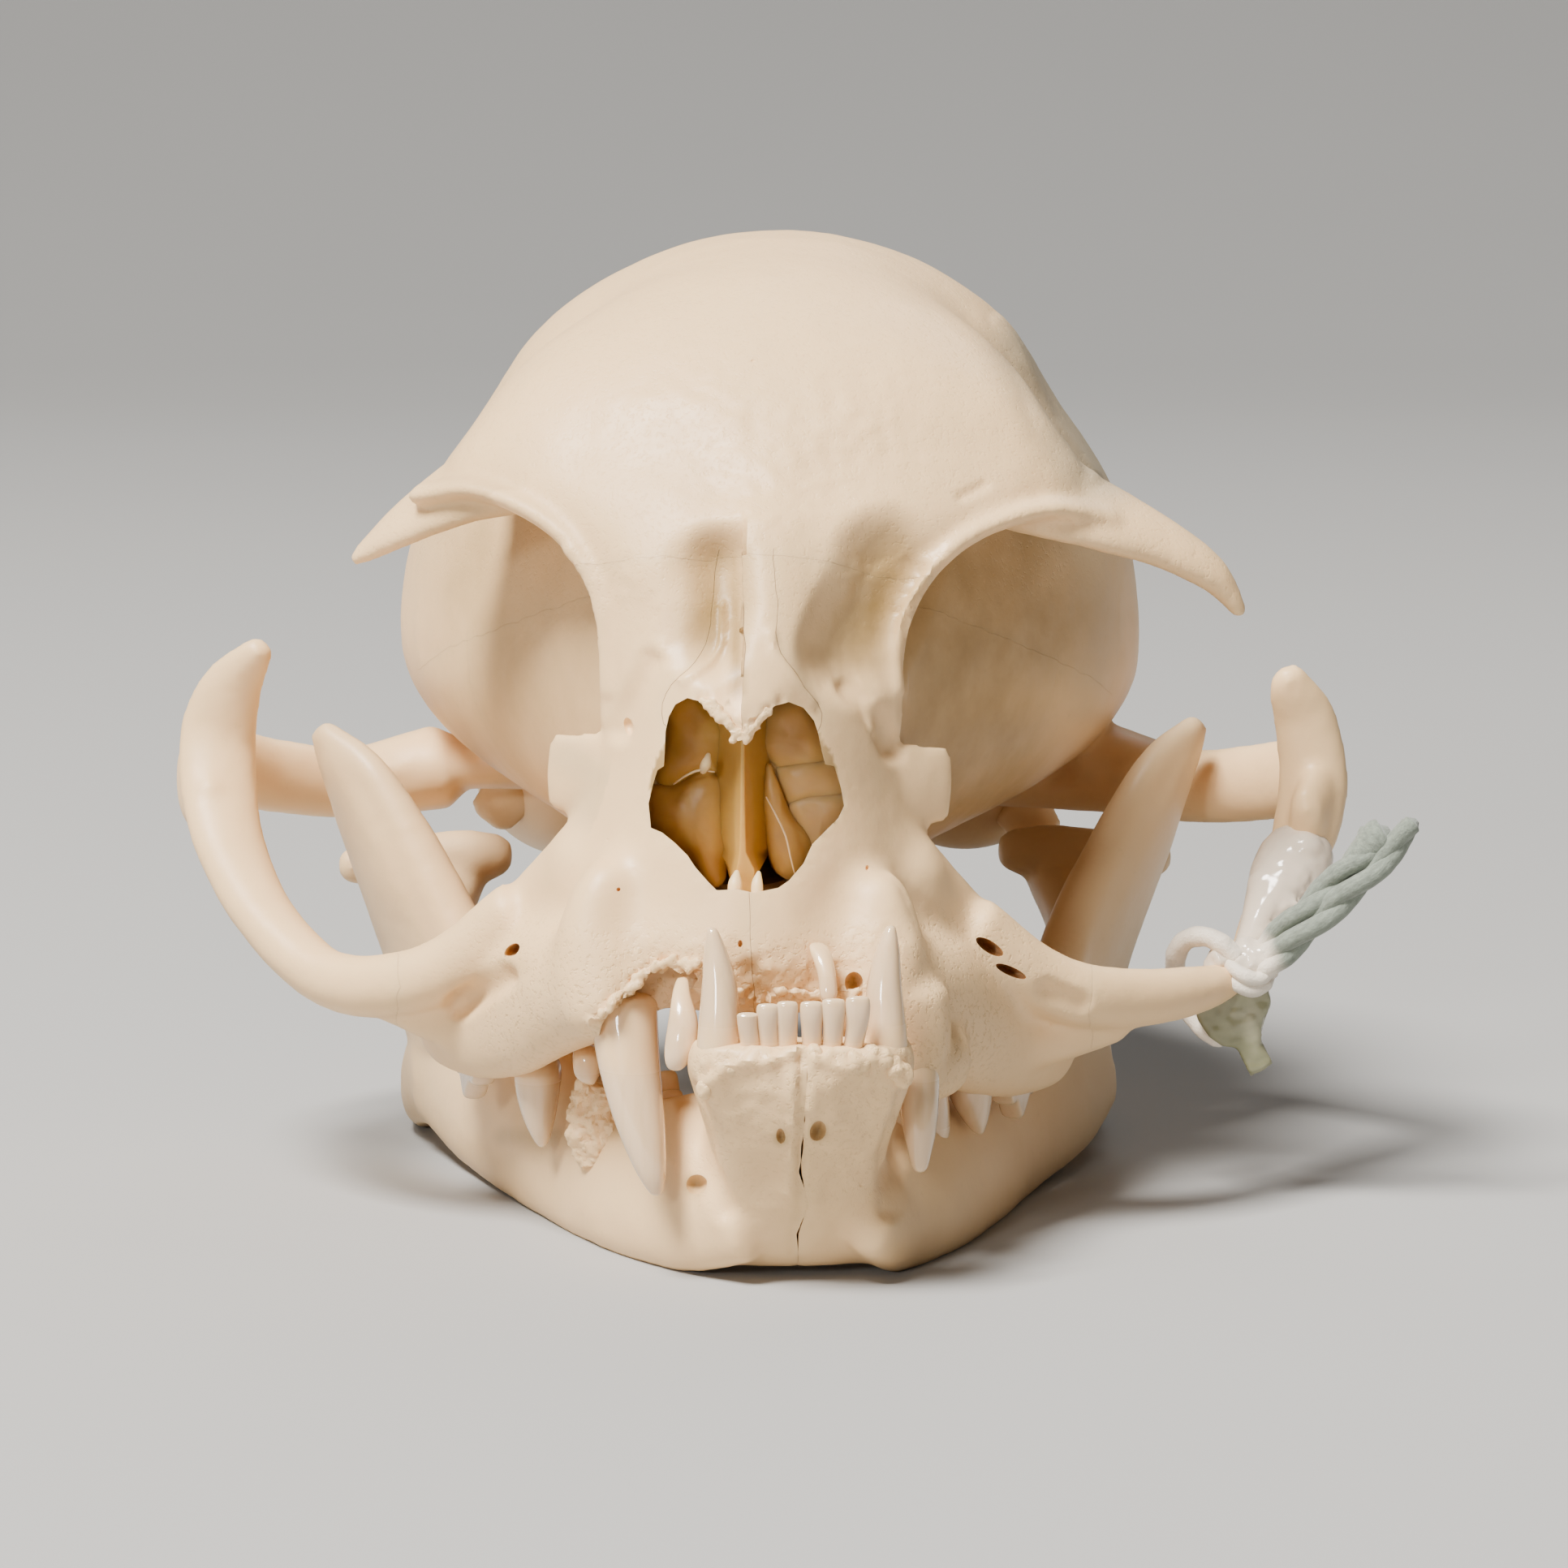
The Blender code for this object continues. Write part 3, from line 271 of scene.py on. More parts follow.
PARAOCCIPITAL = ((13.6, 70.0, 22.0, 2.2, 1.6), (13.4, 70.8, 16.6, 1.1, 0.9))

# Hollows: centre, half sizes, turn about Z in degrees (back end outwards)
ORBIT_HOLLOW = (17.6, 24.0, 33.0), (10.4, 20.0, 9.4), 24.0

# Lower jaw bars, and the chin bottom to top: z, half width, front, back
JAW_BODY = (
    (3.0, 8.0, 6.2, 5.2, 2.1),
    (5.8, 11.4, 4.9, 5.1, 2.1),
    (8.9, 16.2, 4.2, 4.6, 2.1),
    (11.7, 23.0, 4.2, 4.6, 2.2),
    (14.5, 31.0, 5.0, 5.3, 2.3),
    (17.0, 38.0, 6.4, 6.2, 2.0),
    (19.6, 44.0, 7.6, 5.8, 1.8),
)
JAW_LEAN = {RIGHT: (-0.22, 0, 1), LEFT: (-0.42, 0, 1)}   # the tall way of the jaw's body
JAW_SHIFT = {RIGHT: (0.0, 0.0), LEFT: (-1.0, -0.35)}     # its middle, inwards and down
CHIN = (
    (0.6, 5.8, 8.4, 13.0),
    (1.8, 6.2, 6.9, 13.0),
    (4.0, 5.2, 5.5, 11.5),
    (6.5, 4.8, 4.0, 9.5),
    (9.0, 5.2, 2.4, 8.0),
    (11.2, 5.9, 1.4, 7.0),
    (13.0, 6.3, 1.0, 6.2),
    (14.4, 5.9, 1.2, 5.0),
)
RAMUS = (
    (19.2, 40.8, 7.6, 6.8, 1.5),
    (21.2, 42.0, 13.0, 5.8, 1.4),
    (23.6, 42.4, 18.6, 4.0, 1.3),
    (25.8, 43.2, 23.4, 2.4, 0.9),
    (27.0, 44.2, 26.3, 1.0, 0.8),
)
RAMUS_FRONT = (
    (16.8, 34.6, 9.6, 1.8, 1.6),
    (18.2, 37.0, 14.0, 1.6, 1.5),
    (20.8, 39.0, 19.0, 1.5, 1.4),
    (23.8, 41.2, 24.0, 1.1, 1.2),
    (26.8, 43.6, 26.4, 0.8, 0.8),
)
CONDYLE_NECK = (
    (19.6, 45.4, 8.0, 3.6, 1.6),
    (20.0, 47.8, 12.4, 3.0, 1.7),
    (19.8, 49.8, 16.0, 2.0, 2.8),
)
CONDYLE = (
    (16.0, 50.4, 17.6, 1.2, 1.4),
    (18.4, 50.2, 17.5, 1.6, 1.8),
    (22.0, 49.8, 17.3, 1.5, 1.7),
    (25.6, 49.2, 17.2, 1.0, 1.2),
)
ANGULAR_PROCESS = (
    (19.8, 43.6, 5.6, 4.2, 1.9),
    (21.0, 48.6, 3.4, 2.7, 1.5),
    (21.0, 52.6, 1.1, 1.4, 1.1),
    (21.2, 54.8, 1.2, 0.8, 0.7),
)

# Teeth, root to tip: x, y, z and the two half widths
UPPER_CANINE_RIGHT = (
    (6.4, 9.4, 16.0, 1.9, 1.8),
    (6.1, 8.6, 12.8, 1.85, 1.8),
    (5.3, 7.5, 9.2, 1.5, 1.4),
    (4.5, 6.8, 6.3, 0.9, 0.9),
    (4.1, 6.6, 4.9, 0.3, 0.3),
)
UPPER_CANINE_LEFT = (
    (9.4, 9.8, 16.0, 1.6, 1.7),
    (9.9, 9.0, 12.8, 1.4, 1.5),
    (10.3, 8.0, 9.4, 1.05, 1.2),
    (10.4, 7.2, 6.6, 0.4, 0.45),
)
LOWER_CANINE = (
    (4.7, 3.6, 12.0, 1.2, 1.4),
    (4.6, 3.6, 14.6, 1.18, 1.3),
    (4.5, 3.9, 17.2, 1.02, 1.05),
    (4.7, 4.2, 19.2, 0.68, 0.72),
    (4.9, 4.4, 20.6, 0.25, 0.25),
)
# Cheek teeth: x, y and z of the neck, half length along the row, height of the crown
UPPER_BLADES = ((15.8, 24.6, 9.0, 2.6, 2.8),)
CHEEK_TOOTH_THICKNESS = 0.9
LOWER_CHEEK_TEETH = ((7.0, 15.6, 8.2, 1.2, 2.4), (9.2, 21.4, 8.2, 1.6, 2.8), (11.4, 27.8, 9.0, 1.9, 3.2))
# Teeth that face the camera: piece, slot, depth y of each row, then rows of pixel and half sizes, root to tip
INCISOR_DEPTHS = (2.6, 2.4, 2.1, 1.9, 1.8, 1.8)
LOWER_INCISORS = ((921, 926, 1247, 0.62), (946, 949, 1236, 0.66), (970, 970, 1233, 0.63),
                  (1000, 1001, 1233, 0.68), (1027, 1025, 1230, 0.70), (1057, 1050, 1227, 0.72))
INCISORS = tuple(
    ("lower_incisor_%d" % (i + 1), "mandible_right" if i < 3 else "mandible_left", INCISOR_DEPTHS,
     ((root, 1318, 0.60, 0.60), (root, 1290, 0.58, 0.55), (crown, 1266, 0.58, 0.52),
      (crown, 1250, wide, 0.46), (crown, top + 5, wide, 0.34), (crown, top, 0.8 * wide, 0.2)))
    for i, (crown, root, top, wide) in enumerate(LOWER_INCISORS)
) + (
    ("upper_peg", "maxilla_left", (7.2, 6.2, 5.6, 5.2, 5.1),
     ((1006, 1160, 0.6, 0.6), (1014, 1180, 0.6, 0.55), (1020, 1204, 0.5, 0.5), (1021, 1226, 0.55, 0.4),
      (1021, 1235, 0.3, 0.2))),
    ("slipped_incisor", "maxilla_right", (7.6, 6.0, 5.4, 5.0, 4.9, 4.9),
     ((842, 1200, 0.35, 0.4), (838, 1226, 0.5, 0.5), (843, 1252, 0.85, 0.7), (840, 1284, 0.98, 0.75),
      (834, 1308, 0.75, 0.6), (832, 1320, 0.35, 0.3))),
    ("upper_premolar_right", "maxilla_right", (19.6, 19.4, 19.2, 19.0, 19.0),
     ((664, 1296, 1.5, 1.9), (662, 1335, 1.45, 1.8), (664, 1375, 1.05, 1.3), (667, 1403, 0.55, 0.6),
      (668, 1414, 0.2, 0.15))),
    ("upper_small_premolar_right", "maxilla_right", (15.0, 14.8, 14.6, 14.6),
     ((722, 1286, 0.8, 0.9), (724, 1312, 0.9, 0.95), (722, 1328, 0.7, 0.7), (728, 1337, 0.25, 0.2))),
    ("upper_premolar_left", "maxilla_left", (19.8, 19.6, 19.4, 19.2, 19.2),
     ((1192, 1300, 1.5, 2.0), (1194, 1342, 1.5, 1.9), (1200, 1374, 0.95, 1.2), (1205, 1392, 0.45, 0.5),
      (1207, 1398, 0.2, 0.15))),
    ("lower_premolar_left", "mandible_left", (17.4, 17.2, 17.0, 16.8, 16.8),
     ((1148, 1420, 1.2, 1.6), (1147, 1365, 1.15, 1.5), (1147, 1325, 0.9, 1.1), (1147, 1302, 0.5, 0.55),
      (1147, 1293, 0.2, 0.15))),
)
# Granular bone: piece, bone it grows on, line in the picture, half width of the band in pixels,
# how many grains, their smallest and largest size, and how deep they sit
RUBBLE = (
    ("nasal_tip_grains_right", "nasal_right", ((868, 866), (884, 876), (896, 890), (904, 903), (911, 911)), 6,
     40, 0.16, 0.30, 0.24),
    ("nasal_tip_grains_left", "nasal_left", ((916, 911), (924, 899), (934, 888), (946, 876)), 6, 34, 0.16,
     0.28, 0.24),
    ("premaxilla_grains_right", "maxilla_right", ((872, 1218), (890, 1225), (912, 1219)), 5, 16, 0.20, 0.34,
     0.22),
    ("premaxilla_grains_left", "maxilla_left", ((960, 1222), (1000, 1225), (1040, 1230), (1062, 1224)), 5, 22,
     0.20, 0.34, 0.22),
    ("socket_grains", "maxilla_right", ((740, 1246), (770, 1222), (796, 1196), (826, 1186), (856, 1190)), 5,
     28, 0.20, 0.34, 0.20),
    ("chin_bumps_right", "mandible_right", ((872, 1340), (905, 1314), (950, 1306), (984, 1296)), 5, 7, 0.35,
     0.62, 0.70),
    ("chin_bumps_left", "mandible_left", ((1004, 1296), (1040, 1316), (1070, 1300), (1088, 1296),
                                          (1114, 1330)), 6, 9, 0.35, 0.70, 0.70),
)
# Broken bone round the small premolar, standing free: pixel, depth y and size
CHIPS = (
    ((722, 1348), 15.9, 0.9), ((744, 1358), 15.7, 0.9), ((716, 1372), 16.3, 0.9), ((736, 1384), 16.0, 1.2),
    ((754, 1396), 15.7, 0.9), ((718, 1398), 16.2, 1.0), ((738, 1410), 16.1, 1.1), ((758, 1416), 15.8, 0.8),
    ((726, 1360), 16.4, 1.2), ((748, 1376), 16.2, 1.1), ((728, 1418), 16.4, 1.1),
)
CHIP_SEED = 7

# Inside the nose: depth y and the outline there of the septum, as the camera sees it
SEPTUM_SECTIONS = (
    (11.6, ((913, 890), (917, 890), (918, 1000), (919, 1050), (930, 1072), (928, 1096), (920, 1106),
            (908, 1096), (907, 1072), (911, 1050), (912, 1000))),
    (13.4, ((907, 880), (925, 880), (928, 1000), (928, 1050), (936, 1072), (932, 1100), (920, 1110),
            (904, 1100), (900, 1072), (905, 1050), (904, 1000))),
    (15.6, ((872, 880), (952, 880), (956, 1000), (955, 1040), (945, 1056), (935, 1064), (920, 1070),
            (900, 1062), (890, 1050), (880, 1040), (868, 1000))),
)
NOSE_BACKING = (
    (800, 930), (815, 872), (850, 838), (914, 850), (985, 840), (1032, 890), (1054, 980), (1016, 1048),
    (988, 1074),
    (974, 1094), (976, 1062), (950, 1050), (935, 1042), (905, 1038), (890, 1048), (876, 1060), (874, 1094),
    (850, 1078), (795, 1036), (782, 980),
)
NOSE_BACKING_DEPTHS = (15.15, 20.0)
# Thin curled shells: outline in the picture, depth y of its rim, how far it bulges, paleness
SHELLS = (
    (((818, 912), (822, 862), (848, 850), (880, 866), (898, 892), (901, 930), (893, 960), (868, 956),
      (829, 974), (808, 958)), 15.5, 1.1, 0.0),
    (((826, 966), (860, 947), (892, 952), (902, 1005), (900, 1055), (890, 1086), (874, 1092), (845, 1060),
      (808, 1030), (788, 1005), (796, 972)), 15.4, 1.3, 0.10),
    (((936, 892), (958, 858), (991, 862), (1014, 900), (1022, 948), (987, 956), (956, 954), (938, 922)), 15.5,
     0.95, 0.30),
    (((952, 946), (988, 934), (1024, 938), (1050, 974), (1040, 996), (995, 996), (966, 990)), 15.3, 0.85, 0.45),
    (((972, 990), (1008, 974), (1050, 980), (1048, 1004), (1024, 1030), (1003, 1050), (984, 1020)), 15.0,
     0.75, 0.62),
    (((940, 948), (954, 944), (974, 998), (1002, 1036), (992, 1072), (976, 1084), (950, 1066), (940, 1005)),
     14.9, 0.8, 0.16),
)
SHELL_BACK = 4.0                        # how far each shell runs back from its rim
# Small white crests: the torn flag on the upper left shell, the curl line, and the two pegs at the sill
CRESTS = (
    (((866, 950, 13.3, 0.22), (870, 941, 13.0, 0.32), (873, 929, 13.0, 0.12))),
    (((830, 966, 13.6, 0.05), (846, 955, 13.2, 0.07), (862, 949, 13.1, 0.07), (880, 951, 13.2, 0.05))),
    (((905, 1104, 10.4, 0.42), (906, 1088, 10.6, 0.40), (908, 1074, 10.9, 0.14))),
    (((933, 1104, 10.4, 0.36), (933, 1088, 10.6, 0.32), (935, 1075, 10.9, 0.12))),
    (((944, 982, 12.7, 0.04), (956, 1004, 12.5, 0.06), (968, 1030, 12.5, 0.06), (974, 1056, 12.6, 0.05),
      (979, 1076, 12.9, 0.04))),
)

# Chin line: how far the midline wanders sideways at each height
CHIN_LINE = ((1.0, 0.05), (3.0, -0.1), (5.0, 0.45), (7.0, -0.1), (10.0, 0.0), (14.0, 0.15))
JAW_SPREAD = 1.3
TABLE_CORNERS = ((-60, -20), (60, -20), (60, 90), (-60, 90))

# The repair on the left arch, as the camera sees it: pixel across and down, depth y, then half sizes
GLUE = (
    (1538, 1176, 28.4, 1.0, 1.0), (1549, 1147, 29.6, 1.1, 1.2), (1562, 1118, 30.8, 1.5, 1.5),
    (1580, 1086, 32.0, 2.15, 1.7), (1597, 1056, 33.0, 2.3, 1.7), (1604, 1036, 33.6, 1.9, 1.5),
)
GLUE_DROPS = (
    ((1561, 1092), 31.4, 1.2), ((1606, 1048), 32.4, 1.3), ((1584, 1118), 30.4, 1.0), ((1567, 1070), 32.6, 1.0),
)
GLUE_RIPPLES = (
    (((1560, 1060), (1600, 1060)), 4.0, 0.10, 1.2, (20, 45)),
    (((1560, 1160), (1590, 1125), (1622, 1090)), 1.2, 0.22, 0.5, (20, 45)),
)
KNOT_DROPS = (
    ((1530, 1190), 27.6, 1.15), ((1548, 1182), 27.4, 1.1), ((1541, 1203), 27.2, 1.0), ((1519, 1196), 27.6, 0.8),
    ((1557, 1196), 27.2, 0.85), ((1536, 1172), 27.8, 0.9), ((1560, 1172), 27.4, 0.8), ((1526, 1208), 27.6, 0.7),
    ((1504, 1180), 27.6, 0.8), ((1496, 1190), 27.8, 0.7), ((1574, 1160), 27.4, 0.7), ((1588, 1144), 27.4, 0.6),
)
KNOT_RIPPLES = ((((1515, 1190), (1565, 1190)), 3.0, 0.24, 0.55, (20, 45)),)
GLUE_FILM = (
    (1470, 1236), (1486, 1224), (1516, 1212), (1562, 1214), (1567, 1236), (1558, 1258), (1553, 1278),
    (1560, 1294),
    (1569, 1310), (1555, 1319), (1541, 1326), (1532, 1308), (1524, 1291), (1506, 1289), (1490, 1278),
    (1476, 1258),
)
GLUE_FILM_DEPTHS = (27.4, 28.3)
FILM_RIPPLES = ((((1490, 1235), (1550, 1240), (1545, 1300)), 3.0, 0.16, 0.7, (20, 45)),)
# String, as pixel across and down, depth y and radius
STRING_TAIL_LOWER = (
    (1552, 1196, 27.0, 0.84), (1584, 1170, 26.2, 0.90), (1622, 1137, 25.7, 0.92), (1656, 1106, 25.4, 0.90),
    (1690, 1076, 25.3, 0.86), (1716, 1046, 25.4, 0.82), (1732, 1024, 25.5, 0.84), (1741, 1013, 25.6, 0.80),
)
STRING_TAIL_UPPER = (
    (1552, 1178, 27.4, 0.84), (1586, 1142, 26.6, 0.90), (1618, 1111, 26.2, 0.92), (1648, 1084, 26.0, 0.94),
    (1674, 1060, 26.0, 1.04), (1692, 1038, 26.1, 1.16), (1698, 1026, 26.2, 1.10),
)
STRING_BLOB = (
    (1660, 1074, 26.0, 0.75), (1680, 1052, 26.0, 0.95), (1696, 1035, 26.0, 1.12), (1708, 1028, 26.0, 1.02),
)
STRING_LOOP = (
    (1528, 1184, 27.2, 0.62), (1506, 1164, 27.4, 0.62), (1484, 1154, 27.8, 0.60), (1462, 1158, 28.6, 0.62),
    (1450, 1174, 29.4, 0.64), (1448, 1198, 30.6, 0.56), (1450, 1224, 31.0, 0.50), (1464, 1248, 29.8, 0.48),
    (1482, 1270, 28.8, 0.46), (1504, 1286, 28.2, 0.42),
)
KNOT_WRAPS = (
    ((1508, 1194, 27.6, 0.40), (1524, 1212, 26.7, 0.46), (1546, 1219, 26.6, 0.48), (1566, 1207, 27.0, 0.42)),
    ((1510, 1182, 27.4, 0.38), (1528, 1199, 26.4, 0.44), (1550, 1206, 26.3, 0.44), (1570, 1192, 26.8, 0.40)),
)
KNOT = (1540, 1192), 27.4               # pixel and depth y of the knot's middle
LOOP_START = (1512, 1180), 28           # the loop lies to the left of this place

# Seams between the bones, in the cranium's straight frame: y and z of the seam's corners
BROW_FRONT, BROW_BACK, BROW_MIDDLE = (8.0, 41.8), (42.0, 29.5), (34.4, 32.25)
CORONAL_TOP, FACE_BACK_FOOT = (46.0, 62.0), (34.4, 8.0)
OCCIPITAL_FOOT, OCCIPITAL_TOP = (70.6, 10.0), (69.4, 50.0)
BROW_HALF_WIDTH, CORONAL_HALF_WIDTH = 27.4, 30.0
FACE_HALF_WIDTH, OCCIPITAL_HALF_WIDTH = 21.0, 26.0
# x and y of the zygomatic cuts, and the heights between which they run
ZYGOMATIC_ROOT, ZYGOMATIC_ROOT_HEIGHTS = ((19.5, 14.0), (21.0, 32.0)), (8.0, 21.0)
ZYGOMATIC_END, ZYGOMATIC_END_HEIGHTS = ((26.0, 42.6), (40.0, 40.4)), (16.0, 31.0)
# A point inside each bone of the parted cranium; a side bone's point is mirrored for its pair
MIDDLE_BONES = {"frontal": (0.0, 30.0, 50.0), "braincase": (0.0, 55.0, 40.0), "occipital": (0.0, 75.0, 36.0)}
SIDE_BONES = {"nasal": (1.5, 13.0, 36.0), "maxilla": (10.0, 20.0, 20.0), "zygomatic": (33.0, 36.0, 24.0)}

# Openings: centre and half sizes, or outlines in the picture
BRAIN_CAVITY = (0.0, 57.0, 36.0), (15.0, 16.0, 12.0)
FORAMEN_MAGNUM = (0.0, 73.0, 26.8), (5.4, 11.0, 4.6)
NASAL_OUTLINE = (
    (820, 901), (824, 883), (832, 868), (847, 860), (862, 864), (878, 876), (893, 891), (900, 903),
    (909, 913), (918, 911), (926, 898), (941, 886), (954, 870), (972, 865), (990, 872), (1003, 888),
    (1008, 903), (1013, 927), (1017, 942), (1028, 944), (1036, 970), (1040, 993), (1033, 1008),
    (1015, 1026), (1001, 1040), (990, 1064), (972, 1085), (959, 1094), (929, 1100), (910, 1096),
    (883, 1097), (872, 1086), (857, 1069), (847, 1054), (832, 1039), (816, 1026), (802, 1020),
    (799, 990), (805, 965), (810, 949), (818, 944), (819, 927),
)
NASAL_EDGE = (2.0, 16.4)
NOSE_OVAL = (918, 978), (117, 116), 9.8           # in the picture, and the depth behind which it is inside
NASAL_CAVITY = (-1.0, 17.6, 26.6), (6.4, 8.0, 5.8)
# Holes seen from the front: pixel, half sizes across, into and up the view, tilt in degrees
UPPER_HOLES = (
    ((628, 1172), (0.62, 3.4, 0.34), 30.0),
    ((1220, 1167), (0.95, 3.4, 0.34), -32.0),
    ((1246, 1197), (1.0, 3.0, 0.26), -24.0),
    ((772, 894), (0.36, 0.9, 0.6), 20.0),
    ((1052, 1211), (0.52, 1.6, 0.62), 0.0),
    ((913, 397), (0.22, 0.5, 0.22), 0.0),
    ((928, 443), (0.26, 0.5, 0.20), 0.0),
    ((747, 1034), (0.14, 0.6, 0.20), 0.0),
    ((762, 1096), (0.12, 0.5, 0.12), 0.0),
    ((1069, 1069), (0.14, 0.6, 0.20), 0.0),
    ((912, 1163), (0.14, 0.6, 0.22), 0.0),
)
# The broken-out canine socket: its outline in the picture, between two depths
SOCKET_OUTLINE = (
    (734, 1290), (742, 1262), (752, 1246), (764, 1240), (768, 1230), (782, 1226), (784, 1212), (796, 1208),
    (802, 1196), (816, 1200), (826, 1192), (838, 1200), (852, 1194), (860, 1206), (850, 1222), (846, 1244),
    (834, 1262), (824, 1290), (812, 1300), (770, 1302),
)
SOCKET_DEPTHS = (1.0, 9.2)
JAW_HOLES = (
    ((962, 1402), (0.26, 0.75, 0.54), 4.0),
    ((1008, 1395), (0.46, 0.95, 0.64), -8.0),
    ((856, 1460), (0.72, 1.1, 0.58), 14.0),
    ((1064, 1462), (0.26, 0.3, 0.20), -20.0),
)

# Marks drawn on a bone as the camera sees it: line, half width, depth, nearest and farthest y.
# A negative depth raises a ridge.
SKULL_MARKS = (
    (((874, 700), (880, 745), (868, 785)), 3.0, 1.2, (8, 24)),
    (((1094, 690), (1078, 740), (1050, 800)), 3.6, 1.7, (8, 26)),
    (((1056, 850), (1085, 890), (1100, 925)), 1.0, 0.6, (8, 20)),
    (((566, 1238), (592, 1222), (618, 1204)), 1.1, 0.8, (10, 40)),
    (((1292, 1222), (1330, 1236)), 1.0, 0.5, (10, 40)),
    (((926, 1196), (940, 1214)), 0.9, 0.35, (2, 12)),
    (((1079, 868), (1082, 900)), 0.5, -0.22, (8, 20)),
    (((764, 900), (776, 868), (800, 815)), 1.0, 0.5, (8, 20)),
    (((842, 838), (866, 812), (880, 780), (881, 735)), 0.45, -0.22, (6, 18)),
    (((950, 780), (953, 805), (975, 833), (1000, 866)), 0.45, -0.20, (6, 18)),
    (((1185, 612), (1215, 596)), 0.45, 0.18, (12, 26)),
    (((700, 680), (735, 760), (748, 850)), 0.7, -0.20, (10, 20)),
    (((1150, 690), (1122, 760), (1114, 850)), 0.7, -0.20, (10, 20)),
    (((730, 545), (850, 560), (880, 600)), 3.0, 0.25, (8, 30)),
    (((1020, 590), (1120, 560), (1200, 575)), 3.0, 0.22, (8, 30)),
    (((1345, 585), (1290, 520), (1256, 430), (1235, 395)), 0.9, -0.22, (20, 60)),
    (((1380, 560), (1330, 490), (1290, 415)), 2.0, 0.40, (24, 70)),
    (((760, 1130), (800, 1100), (850, 1120)), 2.6, 0.22, (4, 16)),
    (((1020, 1120), (1070, 1090), (1110, 1120)), 2.6, 0.25, (4, 16)),
)
JAW_MARKS = (
    (((987, 1298), (985, 1366), (983, 1435), (988, 1477), (980, 1508), (976, 1545)), 0.30, 0.09, (-2, 12)),
    (((978, 1300), (977, 1400), (971, 1470)), 0.45, -0.14, (-2, 12)),
    (((1002, 1300), (1000, 1370), (996, 1440)), 0.45, -0.10, (-2, 12)),
    (((850, 1350), (858, 1395), (870, 1440), (892, 1490)), 1.0, 0.45, (-2, 14)),
    (((1122, 1350), (1106, 1395), (1098, 1440), (1096, 1490)), 1.0, 0.45, (-2, 14)),
    (((915, 1345), (925, 1400), (945, 1450)), 1.9, 0.35, (-2, 12)),
    (((1060, 1350), (1055, 1410), (1040, 1450)), 1.9, 0.28, (-2, 12)),
    (((868, 1335), (905, 1312), (950, 1306), (985, 1294), (1045, 1318), (1085, 1300), (1116, 1330)), 0.55,
     -0.22, (-2, 9)),
)

# The right nasal bone lies lower than its neighbour: line, half width and how far it is pushed back
NASAL_SINK = ((909, 690), (909, 740), (910, 800), (911, 832)), 3.3, 1.5
MIDLINE_ACROSS = 916                    # pixels across, just past the midline suture

CROWN_FLANKS = 47.0, 4.6, 1.1           # height, reach up and down, and how far they are drawn in

# Broken-up surfaces as the camera sees them: line, half width, height, size of a bump, and y range
SKULL_ROUGHNESS = (
    (((790, 1170), (850, 1185), (900, 1190), (960, 1195), (1040, 1190), (1090, 1160)), 2.0, 0.16, 0.42,
     (2, 12)),
    (((740, 1262), (775, 1230), (800, 1195), (860, 1200)), 1.3, 0.55, 0.55, (2, 14)),
    (((890, 1228), (960, 1232), (1060, 1222)), 0.9, 0.40, 0.45, (2, 12)),
    (((862, 868), (895, 890), (915, 908), (940, 885), (958, 868)), 0.9, 0.34, 0.55, (4, 14)),
    (((800, 940), (797, 1010), (850, 1062), (880, 1100)), 0.5, 0.10, 0.35, (4, 14)),
    (((1040, 985), (1010, 1040), (975, 1092)), 0.5, 0.10, 0.35, (4, 14)),
    (((860, 520), (950, 600), (1050, 540)), 6.0, 0.085, 0.9, (8, 40)),
    (((820, 470), (1080, 470)), 6.0, 0.05, 1.6, (8, 50)),
    (((770, 700), (820, 830)), 2.2, 0.06, 0.5, (8, 22)),
    (((1060, 700), (1030, 830)), 2.4, 0.06, 0.5, (8, 22)),
)
JAW_ROUGHNESS = (
    (((868, 1318), (930, 1302), (1000, 1296), (1110, 1308)), 1.0, 0.24, 0.7, (-2, 9)),
    (((900, 1360), (1080, 1360), (1000, 1480)), 4.5, 0.17, 1.7, (-2, 9)),
    (((900, 1360), (1080, 1360), (1000, 1480)), 3.5, 0.05, 0.6, (-2, 9)),
)
# Stains and painted shade, as the camera sees them: line, half width, strength, nearest and farthest y
SKULL_STAINS_AND_SHADE = (
    # Painted shade with some stain in the hollows beside the nasal bridge, and a painted shade stripe along the
    # midline step
    (((884, 696), (886, 735), (876, 780)), 2.9, 1.0, (6, 26)),
    (((903, 690), (906, 760), (908, 850)), 0.75, 1.0, (6, 24)),
    (((1097, 690), (1082, 740), (1060, 790)), 3.4, 1.0, (6, 28)),
    # Faint painted shade over the nasal bones
    (((960, 700), (985, 760)), 3.0, 0.16, (6, 26)),
    # Stained orbit walls; the orbit on the viewer's right, away from the light, is painted darker as shade
    (((590, 665), (600, 740), (640, 860)), 5.5, 0.50, (20, 60)),
    (((1170, 740), (1230, 740), (1290, 770), (1225, 850), (1180, 870)), 5.2, 0.80, (20, 60)),
    # Darker tan painted in and round the sockets, holes and grooves at the front of the palate and on the cheek
    (((780, 1236), (820, 1215)), 1.5, 0.85, (4, 20)),
    (((752, 1262), (775, 1245)), 1.0, 0.60, (4, 20)),
    (((1052, 1211),) * 2, 0.9, 0.65, (4, 20)),
    (((930, 1190), (940, 1216)), 0.9, 0.25, (2, 20)),
    (((592, 1222),) * 2, 1.6, 0.25, (10, 40)),
    (((560, 1215), (640, 1190)), 1.0, 0.25, (10, 40)),
)
